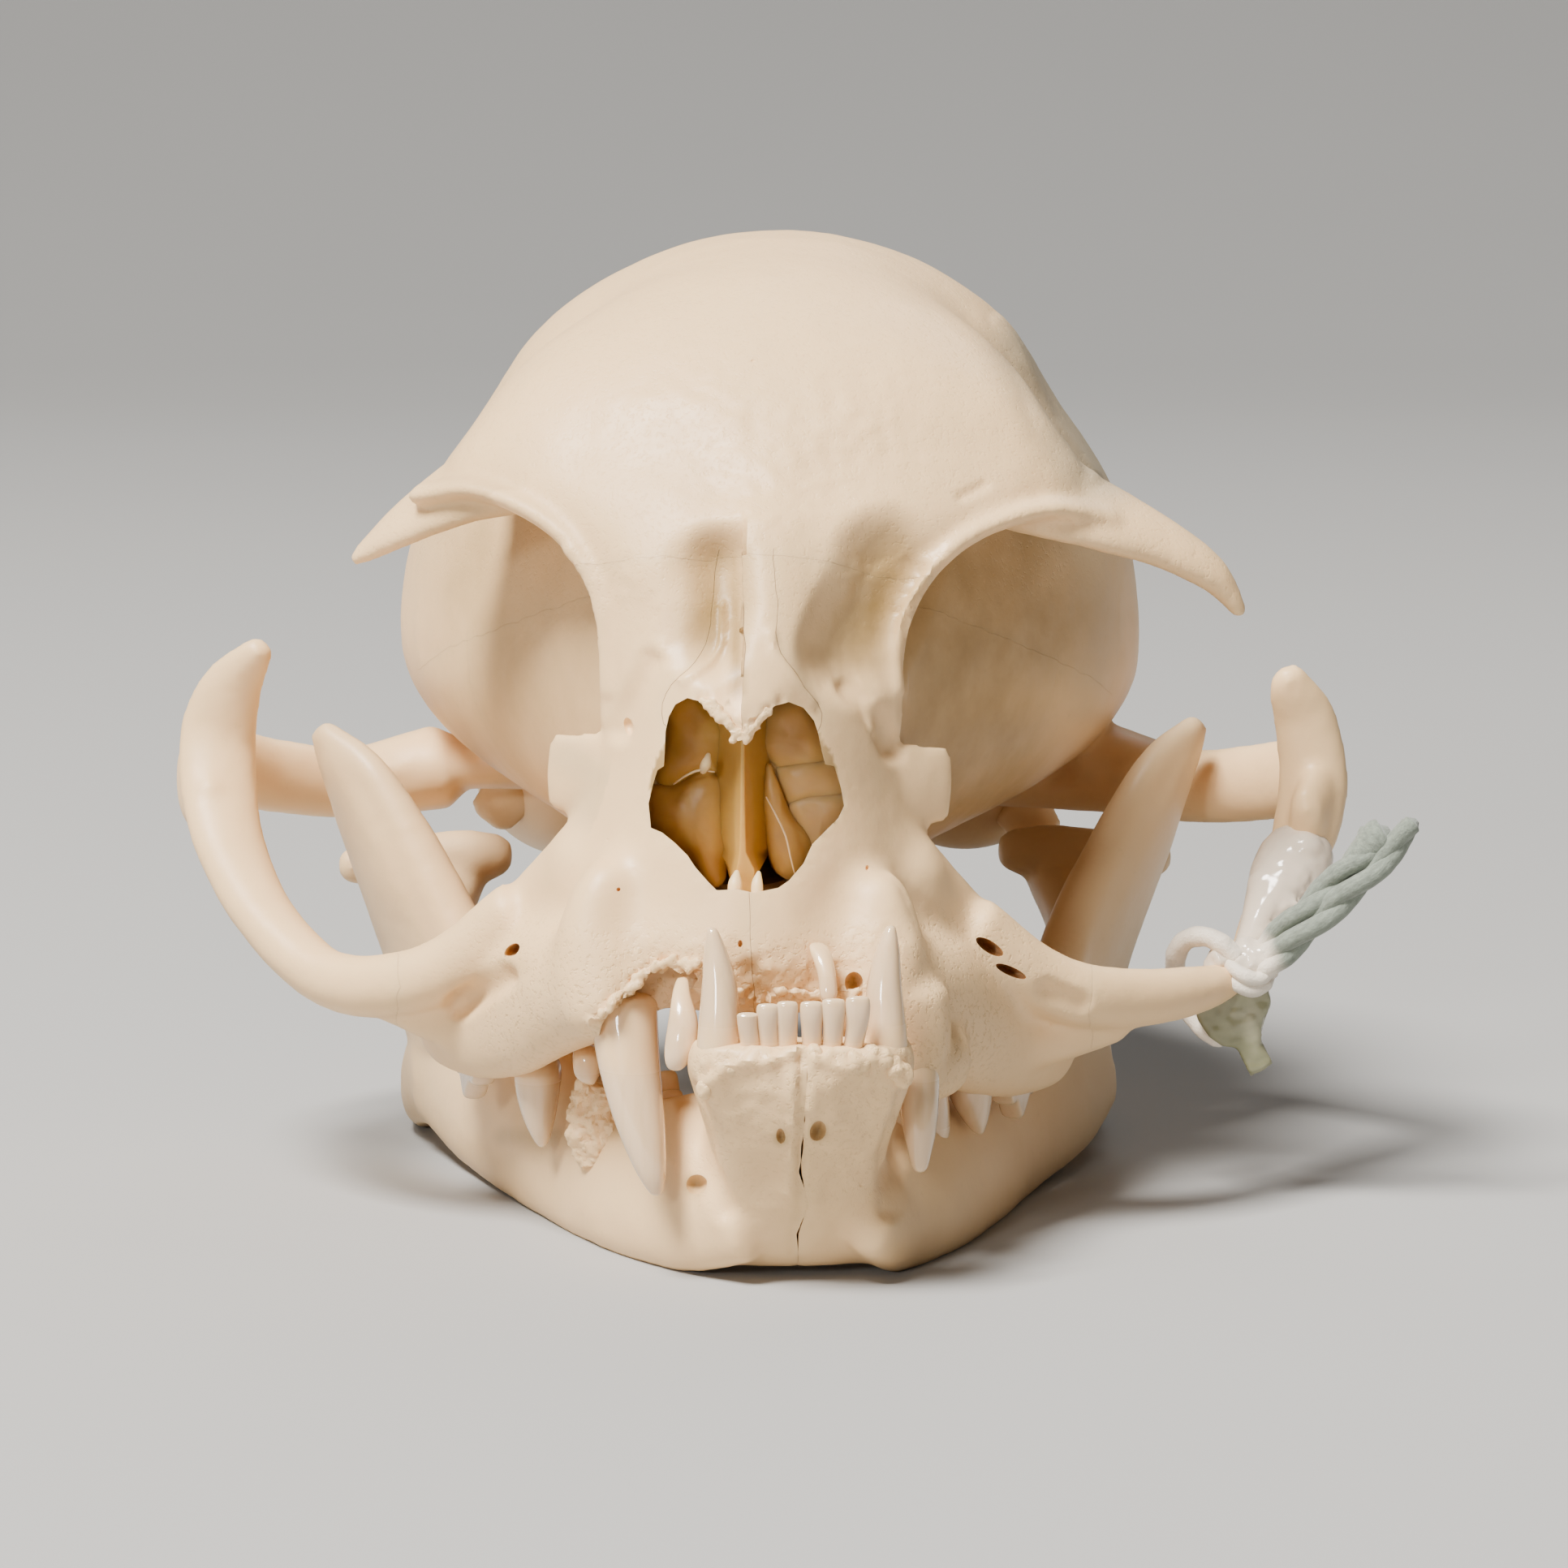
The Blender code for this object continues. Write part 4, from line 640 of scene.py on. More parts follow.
SKULL_GREY_AND_SHADE = (
    # Grey thin bone; this first mark, on the crown's side away from the light, is also painted shade
    (((1274, 418), (1318, 490), (1356, 570)), 4.0, 1.0, (20, 70)),
    (((1330, 640), (1360, 760), (1340, 870)), 2.0, 0.35, (30, 70)),
    (((700, 930), (735, 960), (720, 1000)), 1.8, 0.35, (14, 22)),
)
JAW_STAINS_AND_SHADE = (
    # Darker tan painted in and round the jaw's foramina
    (((962, 1402),) * 2, 0.62, 1.0, (-2, 20)),
    (((1008, 1395),) * 2, 0.80, 1.0, (-2, 20)),
    (((856, 1460),) * 2, 0.95, 0.8, (-2, 30)),
    (((980, 1500), (985, 1440), (988, 1330)), 0.5, 0.25, (-2, 20)),
    # Painted shade in the gap between the upper cheek teeth and the lower jaw
    (((620, 1400), (700, 1400), (760, 1390)), 0.9, 0.45, (8, 40)),
)

# Sutures of the snout: the midline from the palate up (x, z), then lines in the picture
MIDLINE = (
    (-0.6, 8.0), (-0.5, 16.0), (-0.8, 22.0), (-1.2, 27.0), (-1.25, 31.0), (-1.3, 34.0), (-1.1, 38.0),
    (-1.3, 41.0), (-1.4, 44.2),
)
MIDLINE_FRONT, MIDLINE_BACK, MIDLINE_SHRINK = 2.0, 35.2, 0.671
NASAL_SIDE_RIGHT = (
    (838, 908), (818, 893), (814, 872), (822, 851), (837, 833), (853, 820), (868, 799), (876, 768),
    (877, 738), (882, 700), (886, 676),
)
NASAL_SIDE_LEFT = (
    (984, 916), (1008, 902), (1014, 884), (1006, 866), (994, 850), (980, 829), (962, 805), (956, 785),
    (958, 740), (954, 700), (953, 676),
)
NASAL_DEPTHS = (2.0, 20.0)               # y between which the side sutures of the nasal bones run
NASAL_BACK = ((13.0, 25.0), (15.4, 34.0), (18.2, 44.0))   # y and z behind the nasal bones
NASAL_BACK_HALF_WIDTH = 6.5
SNOUT_SEAM, SNOUT_WAVE = 2.2, 0.10      # these sutures show: wider and less wavy
SEAM_STEP = 0.6                         # spacing of a suture's points
SEAM_OVERRUN = 0.7                      # how far a straight seam runs past its two ends
CORE_SPREAD, FINE_SPREAD = 2.8, 0.95    # how far the big forms, and then all of them, blend
NEARBY_PIXELS = 9.0                     # what counts as being at a pixel

# Stained thin bone inside the orbits, with painted shade in the orbit away from the light: its edge (y there,
# slope outwards, x from the middle), then the fades, each from and to: behind the edge, bottom, top, outwards,
# backwards and inwards
CRANIUM_MIDDLE = -0.9
ORBIT_EDGE = 15.4, 0.62, 8.8
ORBIT_FADES = (0.6, 6.0), (17.0, 24.0), (40.5, 42.5), (15.5, 20.5), (40.0, 52.0), (5.0, 8.0)
# How strongly each orbit is painted; the animal's left orbit, away from the key light, gets the stronger share
# as painted shade on top of stain
ORBIT_STAIN_AND_SHADE_RIGHT, ORBIT_STAIN_AND_SHADE_LEFT = 0.42, 0.80
NOSE_STAIN_BACK = 24.0                  # y up to which the inside of the nose is stained

# Lower jaw: the blocks cut away at the midline (outer x, then front and back y) and under the table
MIDLINE_BLOCK, MIDLINE_HEIGHTS, TABLE_HEIGHTS = (-8, -12, 30), (-6, 40), (-9, 0)
CHIN_LINE_REACH, CHIN_LINE_DEPTH = (0.5, 5.0), (6, 12)   # how far the wandering line of the chin bends the bone
JAW_GREY, JAW_GREY_DEPTH = 0.35, (30, 40)                # greyer towards the back
CHIN_PORES, PORES_DEPTH, PORES_HEIGHT = 0.5, (6.0, 10.0), (2.0, 9.0)

# Melted lumps: grain in metres and how far they blend
DROP_MELT, FILM_MELT = (0.0002, 0.35), (0.00018, 0.3)
GRAIN_MELT, CHIP_MELT = 0.00013, 0.00017
GLUED_REACH = 1.6, 3.0                  # from the knot, where the glue on the string fades out
KNOT_GLUE, LOOP_GLUE = 0.9, 0.95        # how much glue the string holds there

# Teeth and string
UPPER_CANINE_NECK, LOWER_CANINE_NECK = 3.6, 2.6
CHEEK_TOOTH_ROOT, CHEEK_TOOTH_LEAN, CHEEK_TOOTH_NECK = 1.6, 0.35, (1.4, 2.6)
TAIL_TWIST = 0.75                       # radians of twist in a millimetre of string
YARN_SIDE, YARN_MAP_STEP = (0.3, 1.0, 0.2), 0.02

# The stage: light, place, power, size and colour
LIGHTS = (
    ("key", (-0.42, -0.46, 1.02), 46.0, 0.38, (1.0, 0.96, 0.91)),
    ("fill", (0.80, -0.75, 0.22), 0.35, 0.6, (1.0, 0.97, 0.92)),
    ("back", (0.25, 0.70, 0.80), 2.4, 0.5, (1.0, 1.0, 1.0)),
    ("sparkle", (-0.42, -0.93, 0.34), 3.2, 0.13, (1.0, 0.98, 0.95)),
)
WORLD_COLOUR, WORLD_STRENGTH = (0.95, 0.93, 0.90), 0.045
FLOOR_SIZE, SWEEP_START, SWEEP_RADIUS = 4.0, 0.7, 0.8


class SkullSizes(bpy.types.PropertyGroup):
    """The fineness of the bone, the width of the sutures and the thickness of the string"""
    core_grain: FloatProperty(
        name="Core grain", description="Cell of the first blend of the big forms",
        default=0.0005, min=0.0003, unit="LENGTH")
    bone_grain: FloatProperty(
        name="Bone grain", description="Cell of the finished bone surface",
        default=0.000285, min=0.0002, unit="LENGTH")
    suture: FloatProperty(
        name="Suture", description="Width of the open line between neighbouring bones",
        default=0.00001, min=0.000005, unit="LENGTH")
    yarn: FloatProperty(
        name="Yarn", description="Radius of one yarn of the string",
        default=0.00058, min=0.0001, unit="LENGTH")


class SkullFinishes(bpy.types.PropertyGroup):
    """The colours of the bone, the teeth, the repair and the floor"""
    bone: FloatVectorProperty(
        name="Bone", description="Clean dry bone", subtype="COLOR", size=3, min=0, max=1,
        default=(0.86, 0.585, 0.31))
    bone_shade: FloatVectorProperty(
        name="Bone, darker", description="Clouding and pores in the bone", subtype="COLOR", size=3,
        min=0, max=1, default=(0.55, 0.365, 0.165))
    # Stain and painted shade: this dark tan marks stained thin bone, and is also painted as shade in the nasal
    # hollows, along the midline step, in the orbit away from the light and between the cheek teeth and the jaw
    stain_and_shade: FloatVectorProperty(
        name="Stain", description="Thin stained bone inside the orbits and the nose",
        subtype="COLOR", size=3, min=0, max=1, default=(0.29, 0.18, 0.056))
    # Grey bone and painted shade: this colour also darkens the crown's side away from the light
    grey_and_shade: FloatVectorProperty(
        name="Grey bone", description="Thin bone at the sides of the braincase",
        subtype="COLOR", size=3, min=0, max=1, default=(0.42, 0.34, 0.22))
    # Painted glow: this ochre is partly the scrolled bones' own colour and partly light shining through them,
    # painted in
    thin_bone_and_glow: FloatVectorProperty(
        name="Thin bone", description="Scrolled bones in the nose", subtype="COLOR", size=3, min=0, max=1,
        default=(0.44, 0.245, 0.045))
    thin_bone_pale: FloatVectorProperty(
        name="Thin bone, paler", description="Clouding of the scrolled bones", subtype="COLOR", size=3,
        min=0, max=1, default=(0.54, 0.33, 0.085))
    thin_bone_edge: FloatVectorProperty(
        name="Thin bone edge", description="Pale rims of the scrolled bones", subtype="COLOR", size=3,
        min=0, max=1, default=(0.80, 0.58, 0.32))
    enamel: FloatVectorProperty(
        name="Enamel", description="Crowns of the teeth", subtype="COLOR", size=3, min=0, max=1,
        default=(0.76, 0.55, 0.34))
    glue: FloatVectorProperty(
        name="Glue", description="Clear set glue", subtype="COLOR", size=3, min=0, max=1,
        default=(0.93, 0.81, 0.66))
    # Painted shade: the film is clear glue, and this dark olive stands in for the dark seen through it
    glue_film: FloatVectorProperty(
        name="Glue film", description="Thin film of glue below the knot", subtype="COLOR", size=3, min=0, max=1,
        default=(0.30, 0.30, 0.17))
    glued_string: FloatVectorProperty(
        name="Glued string", description="String soaked with glue at the knot and the loop", subtype="COLOR",
        size=3, min=0, max=1, default=(0.84, 0.74, 0.61))
    string: FloatVectorProperty(
        name="String", description="Blue-grey cotton string", subtype="COLOR", size=3, min=0, max=1,
        default=(0.185, 0.215, 0.175))
    floor: FloatVectorProperty(
        name="Floor", description="Plain pale floor", subtype="COLOR", size=3, min=0, max=1,
        default=(0.38, 0.38, 0.375))


# Pieces

def pick(*pieces):
    """Select these pieces and nothing else, the first one active."""
    bpy.ops.object.select_all(action="DESELECT")
    for piece in pieces:
        piece.select_set(True)
    bpy.context.view_layer.objects.active = pieces[0]
    return pieces[0]


def settle(piece):
    """Apply every modifier of a piece, first to last."""
    pick(piece)
    for modifier in list(piece.modifiers):
        bpy.ops.object.modifier_apply(modifier=modifier.name)
    return piece


def joined(name, pieces):
    """Join pieces into one object of this name."""
    piece = pick(*pieces)
    if len(pieces) > 1:
        bpy.ops.object.join()
    piece.name = name
    return piece


def dense(rows, steps):
    """More rows on a smooth curve through rows of numbers (Catmull-Rom)."""
    first = [2 * a - b for a, b in zip(rows[0], rows[1])]
    last = [2 * a - b for a, b in zip(rows[-1], rows[-2])]
    rows = [first, *rows, last]
    curve = []
    for quad in zip(rows, rows[1:], rows[2:], rows[3:]):
        for step in range(steps):
            t = step / steps
            curve.append([0.5 * (2 * b + (c - a) * t + (2 * a - 5 * b + 4 * c - d) * t * t
                                 + (3 * b - a - 3 * c + d) * t ** 3) for a, b, c, d in zip(*quad)])
    curve.append(list(rows[-2]))
    return curve


def stack(name, rings):
    """A closed form from a stack of rings of equal count."""
    mesh = bmesh.new()
    rows = [[mesh.verts.new(Vector(p) * MM) for p in ring] for ring in rings]
    count = len(rows[0])
    for low, high in zip(rows, rows[1:]):
        for i in range(count):
            j = (i + 1) % count
            mesh.faces.new((low[i], low[j], high[j], high[i]))
    mesh.faces.new(rows[0][::-1])
    mesh.faces.new(rows[-1])
    bmesh.ops.recalc_face_normals(mesh, faces=mesh.faces)
    data = bpy.data.meshes.new(name)
    mesh.to_mesh(data)
    mesh.free()
    piece = bpy.data.objects.new(name, data)
    bpy.context.scene.collection.objects.link(piece)
    return piece


def bar(stations, wide, side=1, sides=20, steps=5):
    """A rounded bar through the stations, its wide half size along the given way."""
    curve = dense(stations, steps)
    last = len(curve) - 1
    rings = []
    for i, (x, y, z, a, b) in enumerate(curve):
        ahead = Vector(curve[min(i + 1, last)][:3]) - Vector(curve[max(i - 1, 0)][:3])
        ahead.normalize()
        across = (Vector(wide) - ahead * ahead.dot(Vector(wide))).normalized()
        thin = ahead.cross(across)
        sections = [(0.0, 1.0)]
        if i == 0:
            sections.insert(0, (-0.5 * b, 0.6))
        if i == last:
            sections.append((0.5 * b, 0.6))
        for slide, size in sections:
            centre = Vector((x, y, z)) + ahead * slide
            angles = [math.tau * k / sides for k in range(sides)]
            ring = [centre + (across * a * math.cos(t) + thin * b * math.sin(t)) * size for t in angles]
            rings.append([(p.x * side, p.y, p.z) for p in ring])
    return stack("bar", rings)


def ball(centre, radii, side=1, turn=0.0, segments=40):
    """An egg-shaped form, turned about Z so that its back end swings outwards."""
    x, y, z = centre
    bpy.ops.mesh.primitive_uv_sphere_add(
        segments=segments, ring_count=segments // 2, radius=MM, location=(x * side * MM, y * MM, z * MM),
        rotation=(0.0, 0.0, math.radians(-turn * side)), scale=radii)
    bpy.ops.object.transform_apply()
    return bpy.context.object


def leaning(points):
    """The points with everything above the brow shifted a little to one side."""
    shift, start = CROWN_LEAN
    return [(x + shift * max(0.0, z - start), y, z) for x, y, z in points]


def egg_ring(y, half_width, top, middle, bottom, count=64):
    """A cross-section of the braincase at y."""
    ring = []
    for k in range(count):
        angle = math.tau * k / count
        reach = top - middle if math.sin(angle) > 0 else middle - bottom
        ring.append((half_width * math.cos(angle), y, middle + reach * math.sin(angle)))
    return leaning(ring)


def shield_ring(y, half_width, rim, crown, count=32):
    """A cross-section of the forehead at y: domed above, hollow towards the orbits below."""
    upper, lower = [], []
    for k in range(count + 1):
        x = -half_width * math.cos(math.pi * k / count)
        dome = max(0.0, 1.0 - abs(x / half_width) ** FOREHEAD_ROUNDNESS) ** 0.75
        upper.append((x, y, rim + (crown - rim) * dome))
        if 0 < k < count:
            lower.append((x, y, rim - FOREHEAD_THICKNESS * (0.35 + 0.65 * dome)))
    return leaning(upper + lower[::-1])


def face_ring(z, front, half_width, side, back, count=32):
    """A level section of the face: a bowed front between the orbit rims, and a flat back."""
    ring = []
    for k in range(count + 1):
        x = -half_width * math.cos(math.pi * k / count)
        ring.append((x, front + (side - front) * abs(x / half_width) ** FACE_ROUNDNESS, z))
    ring += [(0.94 * half_width, 0.5 * (side + back), z), (0.8 * half_width, back, z)]
    return ring + [(-x, y, z) for x, y, z in ring[:-3:-1]]


def chin_ring(z, half_width, front, back, count=16):
    """A level section of one half of the chin, from the midline outwards."""
    ring = [(-0.5, back, z), (-0.5, front, z)]
    for k in range(count + 1):
        angle = 0.5 * math.pi * k / count
        ring.append((half_width * math.sin(angle), back - (back - front) * math.cos(angle) ** 0.45, z))
    return ring


def melt(name, pieces, grain, spread):
    """Melt overlapping forms into one skin and even it out over about this distance."""
    piece = joined(name, pieces)
    remesh = piece.modifiers.new("one skin", "REMESH")
    remesh.mode = "VOXEL"
    remesh.voxel_size = grain
    relax = piece.modifiers.new("even out", "SMOOTH")
    relax.factor = 0.5
    relax.iterations = max(1, round((spread * MM / grain) ** 2))
    return settle(piece)


def carve(piece, tool, operation="DIFFERENCE", solver="MANIFOLD"):
    """Cut a closed tool out of a piece; the tool is used up."""
    boolean = piece.modifiers.new("carve", "BOOLEAN")
    boolean.solver = solver
    boolean.operation = operation
    boolean.object = tool
    settle(piece)
    bpy.data.objects.remove(tool)
    return piece


def copy_of(piece, name):
    """A second piece with a mesh of its own."""
    twin = bpy.data.objects.new(name, piece.data.copy())
    bpy.context.scene.collection.objects.link(twin)
    return twin


def loose_bodies(piece):
    """The separate bodies of a piece, each an object of its own."""
    before = set(bpy.data.objects) - {piece}
    pick(piece)
    bpy.ops.mesh.separate(type="LOOSE")
    return [one for one in bpy.data.objects if one not in before]


def keep_largest(piece, name):
    """Only the largest body of a piece, under this name."""
    bodies = sorted(loose_bodies(piece), key=lambda one: len(one.data.vertices))
    largest = bodies.pop()
    for crumb in bodies:
        bpy.data.objects.remove(crumb)
    largest.name = name
    return largest


# Points, and how the camera sees them

def points_of(piece):
    """The piece's points in millimetres, one row each."""
    flat = np.empty(len(piece.data.vertices) * 3)
    piece.data.vertices.foreach_get("co", flat)
    return flat.reshape(-1, 3) / MM


def normals_of(piece):
    """The piece's normals at its points, one row each."""
    flat = np.empty(len(piece.data.vertices) * 3)
    piece.data.vertices.foreach_get("normal", flat)
    return flat.reshape(-1, 3)


def put_points(piece, points):
    """Move the piece's points to these places, in millimetres."""
    piece.data.vertices.foreach_set("co", (points * MM).ravel())
    piece.data.update()


def view_ways():
    """The camera's ahead and up."""
    tilt = math.radians(CAMERA_ELEVATION)
    return np.array((0.0, math.cos(tilt), -math.sin(tilt))), np.array((0.0, math.sin(tilt), math.cos(tilt)))


def picture_of(points):
    """Where the camera sees points: pixels across and down, and pixels to a millimetre there."""
    ahead, up = view_ways()
    away = points - np.array(CAMERA_TARGET)
    scale = FOCAL_PIXELS / (CAMERA_DISTANCE + away @ ahead)
    return PICTURE / 2 + away[:, 0] * scale, PICTURE / 2 - (away @ up) * scale, scale


def seen_at(pixel, y):
    """The point at depth y that the camera sees at a pixel."""
    ahead, up = view_ways()
    ray = (ahead + up * (PICTURE / 2 - pixel[1]) / FOCAL_PIXELS
           + np.array((1.0, 0.0, 0.0)) * (pixel[0] - PICTURE / 2) / FOCAL_PIXELS)
    eye = np.array(CAMERA_TARGET) - ahead * CAMERA_DISTANCE
    return Vector(eye + ray * (y - eye[1]) / ray[1])


def reach_of(across, down, line):
    """How far each place in the picture is from a line through pixels."""
    best = np.full(len(across), 1e9)
    ends = list(zip(line, line[1:])) or [(line[0], line[0])]
    for (x1, y1), (x2, y2) in ends:
        run = max((x2 - x1) ** 2 + (y2 - y1) ** 2, 1e-9)
        t = np.clip(((across - x1) * (x2 - x1) + (down - y1) * (y2 - y1)) / run, 0, 1)
        best = np.minimum(best, np.hypot(across - x1 - t * (x2 - x1), down - y1 - t * (y2 - y1)))
    return best


def mark_share(points, normals, line, half_width, depths):
    """How strongly a mark drawn from the front acts on each point, 0 to 1."""
    ahead, _ = view_ways()
    across, down, scale = picture_of(points)
    share = np.clip(1 - (reach_of(across, down, line) / scale / half_width) ** 2, 0, 1) ** 2
    near, far = depths
    facing = smooth_share(-(normals @ ahead), 0.03, 0.30)
    return share * facing * (points[:, 1] > near) * (points[:, 1] < far)


def draw(piece, marks):
    """Press grooves, or raise ridges where the depth is negative, along lines seen from the front."""
    points, normals = points_of(piece), normals_of(piece)
    moved = points.copy()
    for line, half_width, depth, depths in marks:
        moved -= normals * (depth * mark_share(points, normals, line, half_width, depths))[:, None]
    put_points(piece, moved)


def sink(piece, line, half_width, depth):
    """Push the part of a piece near a line in the picture straight back."""
    points, (ahead, _) = points_of(piece), view_ways()
    share = mark_share(points, np.tile(-ahead, (len(points), 1)), line, half_width, (0, 40))
    share *= picture_of(points)[0] < MIDLINE_ACROSS
    put_points(piece, points + ahead * (depth * share)[:, None])


def painted(piece, marks):
    """The strongest of the marks painted on each point, 0 to 1."""
    points, normals = points_of(piece), np.tile(np.array((0.0, -1.0, 0.0)), (len(piece.data.vertices), 1))
    share = np.zeros(len(points))
    for line, half_width, strength, depths in marks:
        share = np.maximum(share, strength * mark_share(points, normals, line, half_width, depths))
    return share


def roughen(piece, patches):
    """Break up a surface with small bumps: line, half width, height, size of a bump, depths."""
    points, normals = points_of(piece), normals_of(piece)
    moved = points.copy()
    for line, half_width, height, size, depths in patches:
        share = mark_share(points, normals, line, half_width, depths)
        for i in np.nonzero(share > 0.01)[0]:
            bump = noise.noise(Vector(points[i]) / size) + 0.5 * noise.noise(Vector(points[i]) / size * 2.1)
            moved[i] += normals[i] * (height * share[i] * bump)
    put_points(piece, moved)


def weather(piece, height=0.055, size=3.2):
    """The faint unevenness of real bone, all over."""
    points = points_of(piece)
    swell = np.array([
        noise.noise(Vector(p) / size) + 0.35 * noise.noise(Vector(p) / size * 3.1) for p in points])
    put_points(piece, points + normals_of(piece) * (height * swell)[:, None])


def draw_in(piece):
    """The nearly straight flanks of the crown."""
    points = points_of(piece)
    middle, reach, depth = CROWN_FLANKS
    share = np.exp(-((points[:, 2] - middle) / reach) ** 2) * smooth_share(np.abs(points[:, 0]), 12.0, 20.0)
    points[:, 0] -= np.sign(points[:, 0]) * depth * share
    put_points(piece, points)


def smooth_share(values, start, end):
    """0 up to start, 1 from end on, eased between."""
    t = np.clip((values - start) / (end - start), 0, 1)
    return t * t * (3 - 2 * t)


def set_share(piece, name, values):
    """Keep a number from 0 to 1 on every point for the materials."""
    share = piece.data.attributes.new(name, "FLOAT", "POINT")
    share.data.foreach_set("value", np.clip(values, 0, 1).astype(np.float32))


def seat(pieces, turn, pivot, place):
    """Turn pieces about a pivot and move the pivot to its place."""
    matrix = Matrix.Translation(Vector(place) * MM) @ turn @ Matrix.Translation(Vector(pivot) * -MM)
    for piece in pieces:
        piece.data.transform(matrix)
        piece.data.update()


def seat_cranium(*pieces):
    """Turn and roll pieces of the upper skull into its pose."""
    turn = (Matrix.Rotation(math.radians(-CRANIUM_YAW), 4, "Z")
            @ Matrix.Rotation(math.radians(CRANIUM_ROLL), 4, "Y"))
    seat(pieces, turn, CRANIUM_PIVOT, CRANIUM_PIVOT)


def seat_jaw(*pieces):
    """Turn pieces of the lower jaw into its pose."""
    seat(pieces, Matrix.Rotation(math.radians(-JAW_YAW), 4, "Z"), (0.0, *JAW_PIVOT[1:]), JAW_PIVOT)


def finished(piece, material, nodes=(), sharp=40.0):
    """Shade a piece, give it its material and put it in the frame."""
    piece.data.transform(Matrix.Translation(Vector(FRAME_SHIFT) * MM))
    pick(piece)
    bpy.ops.object.shade_smooth_by_angle(angle=math.radians(sharp))
    piece.data.materials.clear()
    piece.data.materials.append(material)
    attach(piece, BODY)
    if nodes:
        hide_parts(*nodes)
    return piece


# Materials

def new_material(name):
    """A material with its node tree and shader."""
    material = bpy.data.materials.get(name)
    if material:
        return material, None
    material = bpy.data.materials.new(name)
    material.use_nodes = True
    return material, material.node_tree


def grain_noise(tree, place, scale, detail=4.0, roughness=0.5):
    """A cloudy pattern, 0 to 1, with this many clouds to a metre."""
    node = tree.nodes.new("ShaderNodeTexNoise")
    node.inputs["Scale"].default_value = scale
    node.inputs["Detail"].default_value = detail
    node.inputs["Roughness"].default_value = roughness
    tree.links.new(place, node.inputs["Vector"])
    return node.outputs["Fac"]


def tint(tree, factor, first, second):
    """Mix two colours; each may be a colour or a socket."""
    node = tree.nodes.new("ShaderNodeMix")
    node.data_type = "RGBA"
    tree.links.new(factor, node.inputs[0])
    for socket, colour in zip((node.inputs[6], node.inputs[7]), (first, second)):
        if isinstance(colour, bpy.types.NodeSocket):
            tree.links.new(colour, socket)
        else:
            socket.default_value = (*colour, 1.0)
    return node.outputs[2]


def ranged(tree, value, low, high, start=0.0, end=1.0):
    """A value brought from one range to another."""
    node = tree.nodes.new("ShaderNodeMapRange")
    for i, number in enumerate((low, high, start, end)):
        node.inputs[i + 1].default_value = number
    tree.links.new(value, node.inputs[0])
    return node.outputs[0]


def times(tree, first, second):
    node = tree.nodes.new("ShaderNodeMath")
    node.operation = "MULTIPLY"
    for socket, value in zip(node.inputs, (first, second)):
        if isinstance(value, bpy.types.NodeSocket):
            tree.links.new(value, socket)
        else:
            socket.default_value = value
    return node.outputs[0]


def bumped(tree, height, strength, distance, normal=None):
    node = tree.nodes.new("ShaderNodeBump")
    node.inputs["Strength"].default_value = strength
    node.inputs["Distance"].default_value = distance
    tree.links.new(height, node.inputs["Height"])
    if normal:
        tree.links.new(normal, node.inputs["Normal"])
    return node.outputs["Normal"]


def share_of(tree, name):
    """The share kept on the piece's points under this name."""
    node = tree.nodes.new("ShaderNodeAttribute")
    node.attribute_name = name
    return node.outputs["Fac"]


def bone_material(finishes):
    """Clean dry bone: clouded cream, pores, stained thin walls and painted shade, and a soft inner glow."""
    material, tree = new_material("dry_bone")
    if tree is None:
        return material
    shader = tree.nodes["Principled BSDF"]
    place = tree.nodes.new("ShaderNodeTexCoord").outputs["Object"]
    clouds = ranged(tree, grain_noise(tree, place, 90, 5.0, 0.55), 0.42, 0.72)
    colour = tint(tree, times(tree, clouds, 0.22), finishes.bone, finishes.bone_shade)
    specks = ranged(tree, grain_noise(tree, place, 1400, 3.0, 0.6), 0.62, 0.80)
    colour = tint(tree, times(tree, specks, 0.22), colour, finishes.bone_shade)
    # Grey thin bone, which also paints shade on the crown's side away from the light
    colour = tint(tree, share_of(tree, "grey_and_shade"), colour, finishes.grey_and_shade)
    veins = ranged(tree, grain_noise(tree, place, 260, 4.0, 0.6), 0.3, 0.75, 0.65, 1.0)
    # Stain, which also paints shade in the nasal hollows, along the midline step and in the orbit away from the
    # light
    colour = tint(tree, times(tree, share_of(tree, "stain_and_shade"), veins), colour, finishes.stain_and_shade)
    pits = ranged(tree, grain_noise(tree, place, 3400, 2.0, 0.6), 0.54, 0.70)
    pits = times(tree, pits, share_of(tree, "pores"))
    colour = tint(tree, times(tree, pits, 0.40), colour, finishes.bone_shade)
    tree.links.new(colour, shader.inputs["Base Color"])
    tree.links.new(ranged(tree, clouds, 0.0, 1.0, 0.40, 0.56), shader.inputs["Roughness"])
    fine = bumped(tree, grain_noise(tree, place, 2600, 3.0, 0.65), 0.22, 0.00006)
    broad = bumped(tree, grain_noise(tree, place, 420, 3.0, 0.5), 0.26, 0.0002, fine)
    hollow = bumped(tree, ranged(tree, pits, 0.0, 1.0, 1.0, 0.0), 0.45, 0.00014, broad)
    tree.links.new(hollow, shader.inputs["Normal"])
    shader.inputs["Subsurface Weight"].default_value = 0.15
    shader.inputs["Subsurface Radius"].default_value = (1.0, 0.85, 0.65)
    shader.inputs["Subsurface Scale"].default_value = 0.0012
    shader.inputs["Specular IOR Level"].default_value = 0.42
    return material


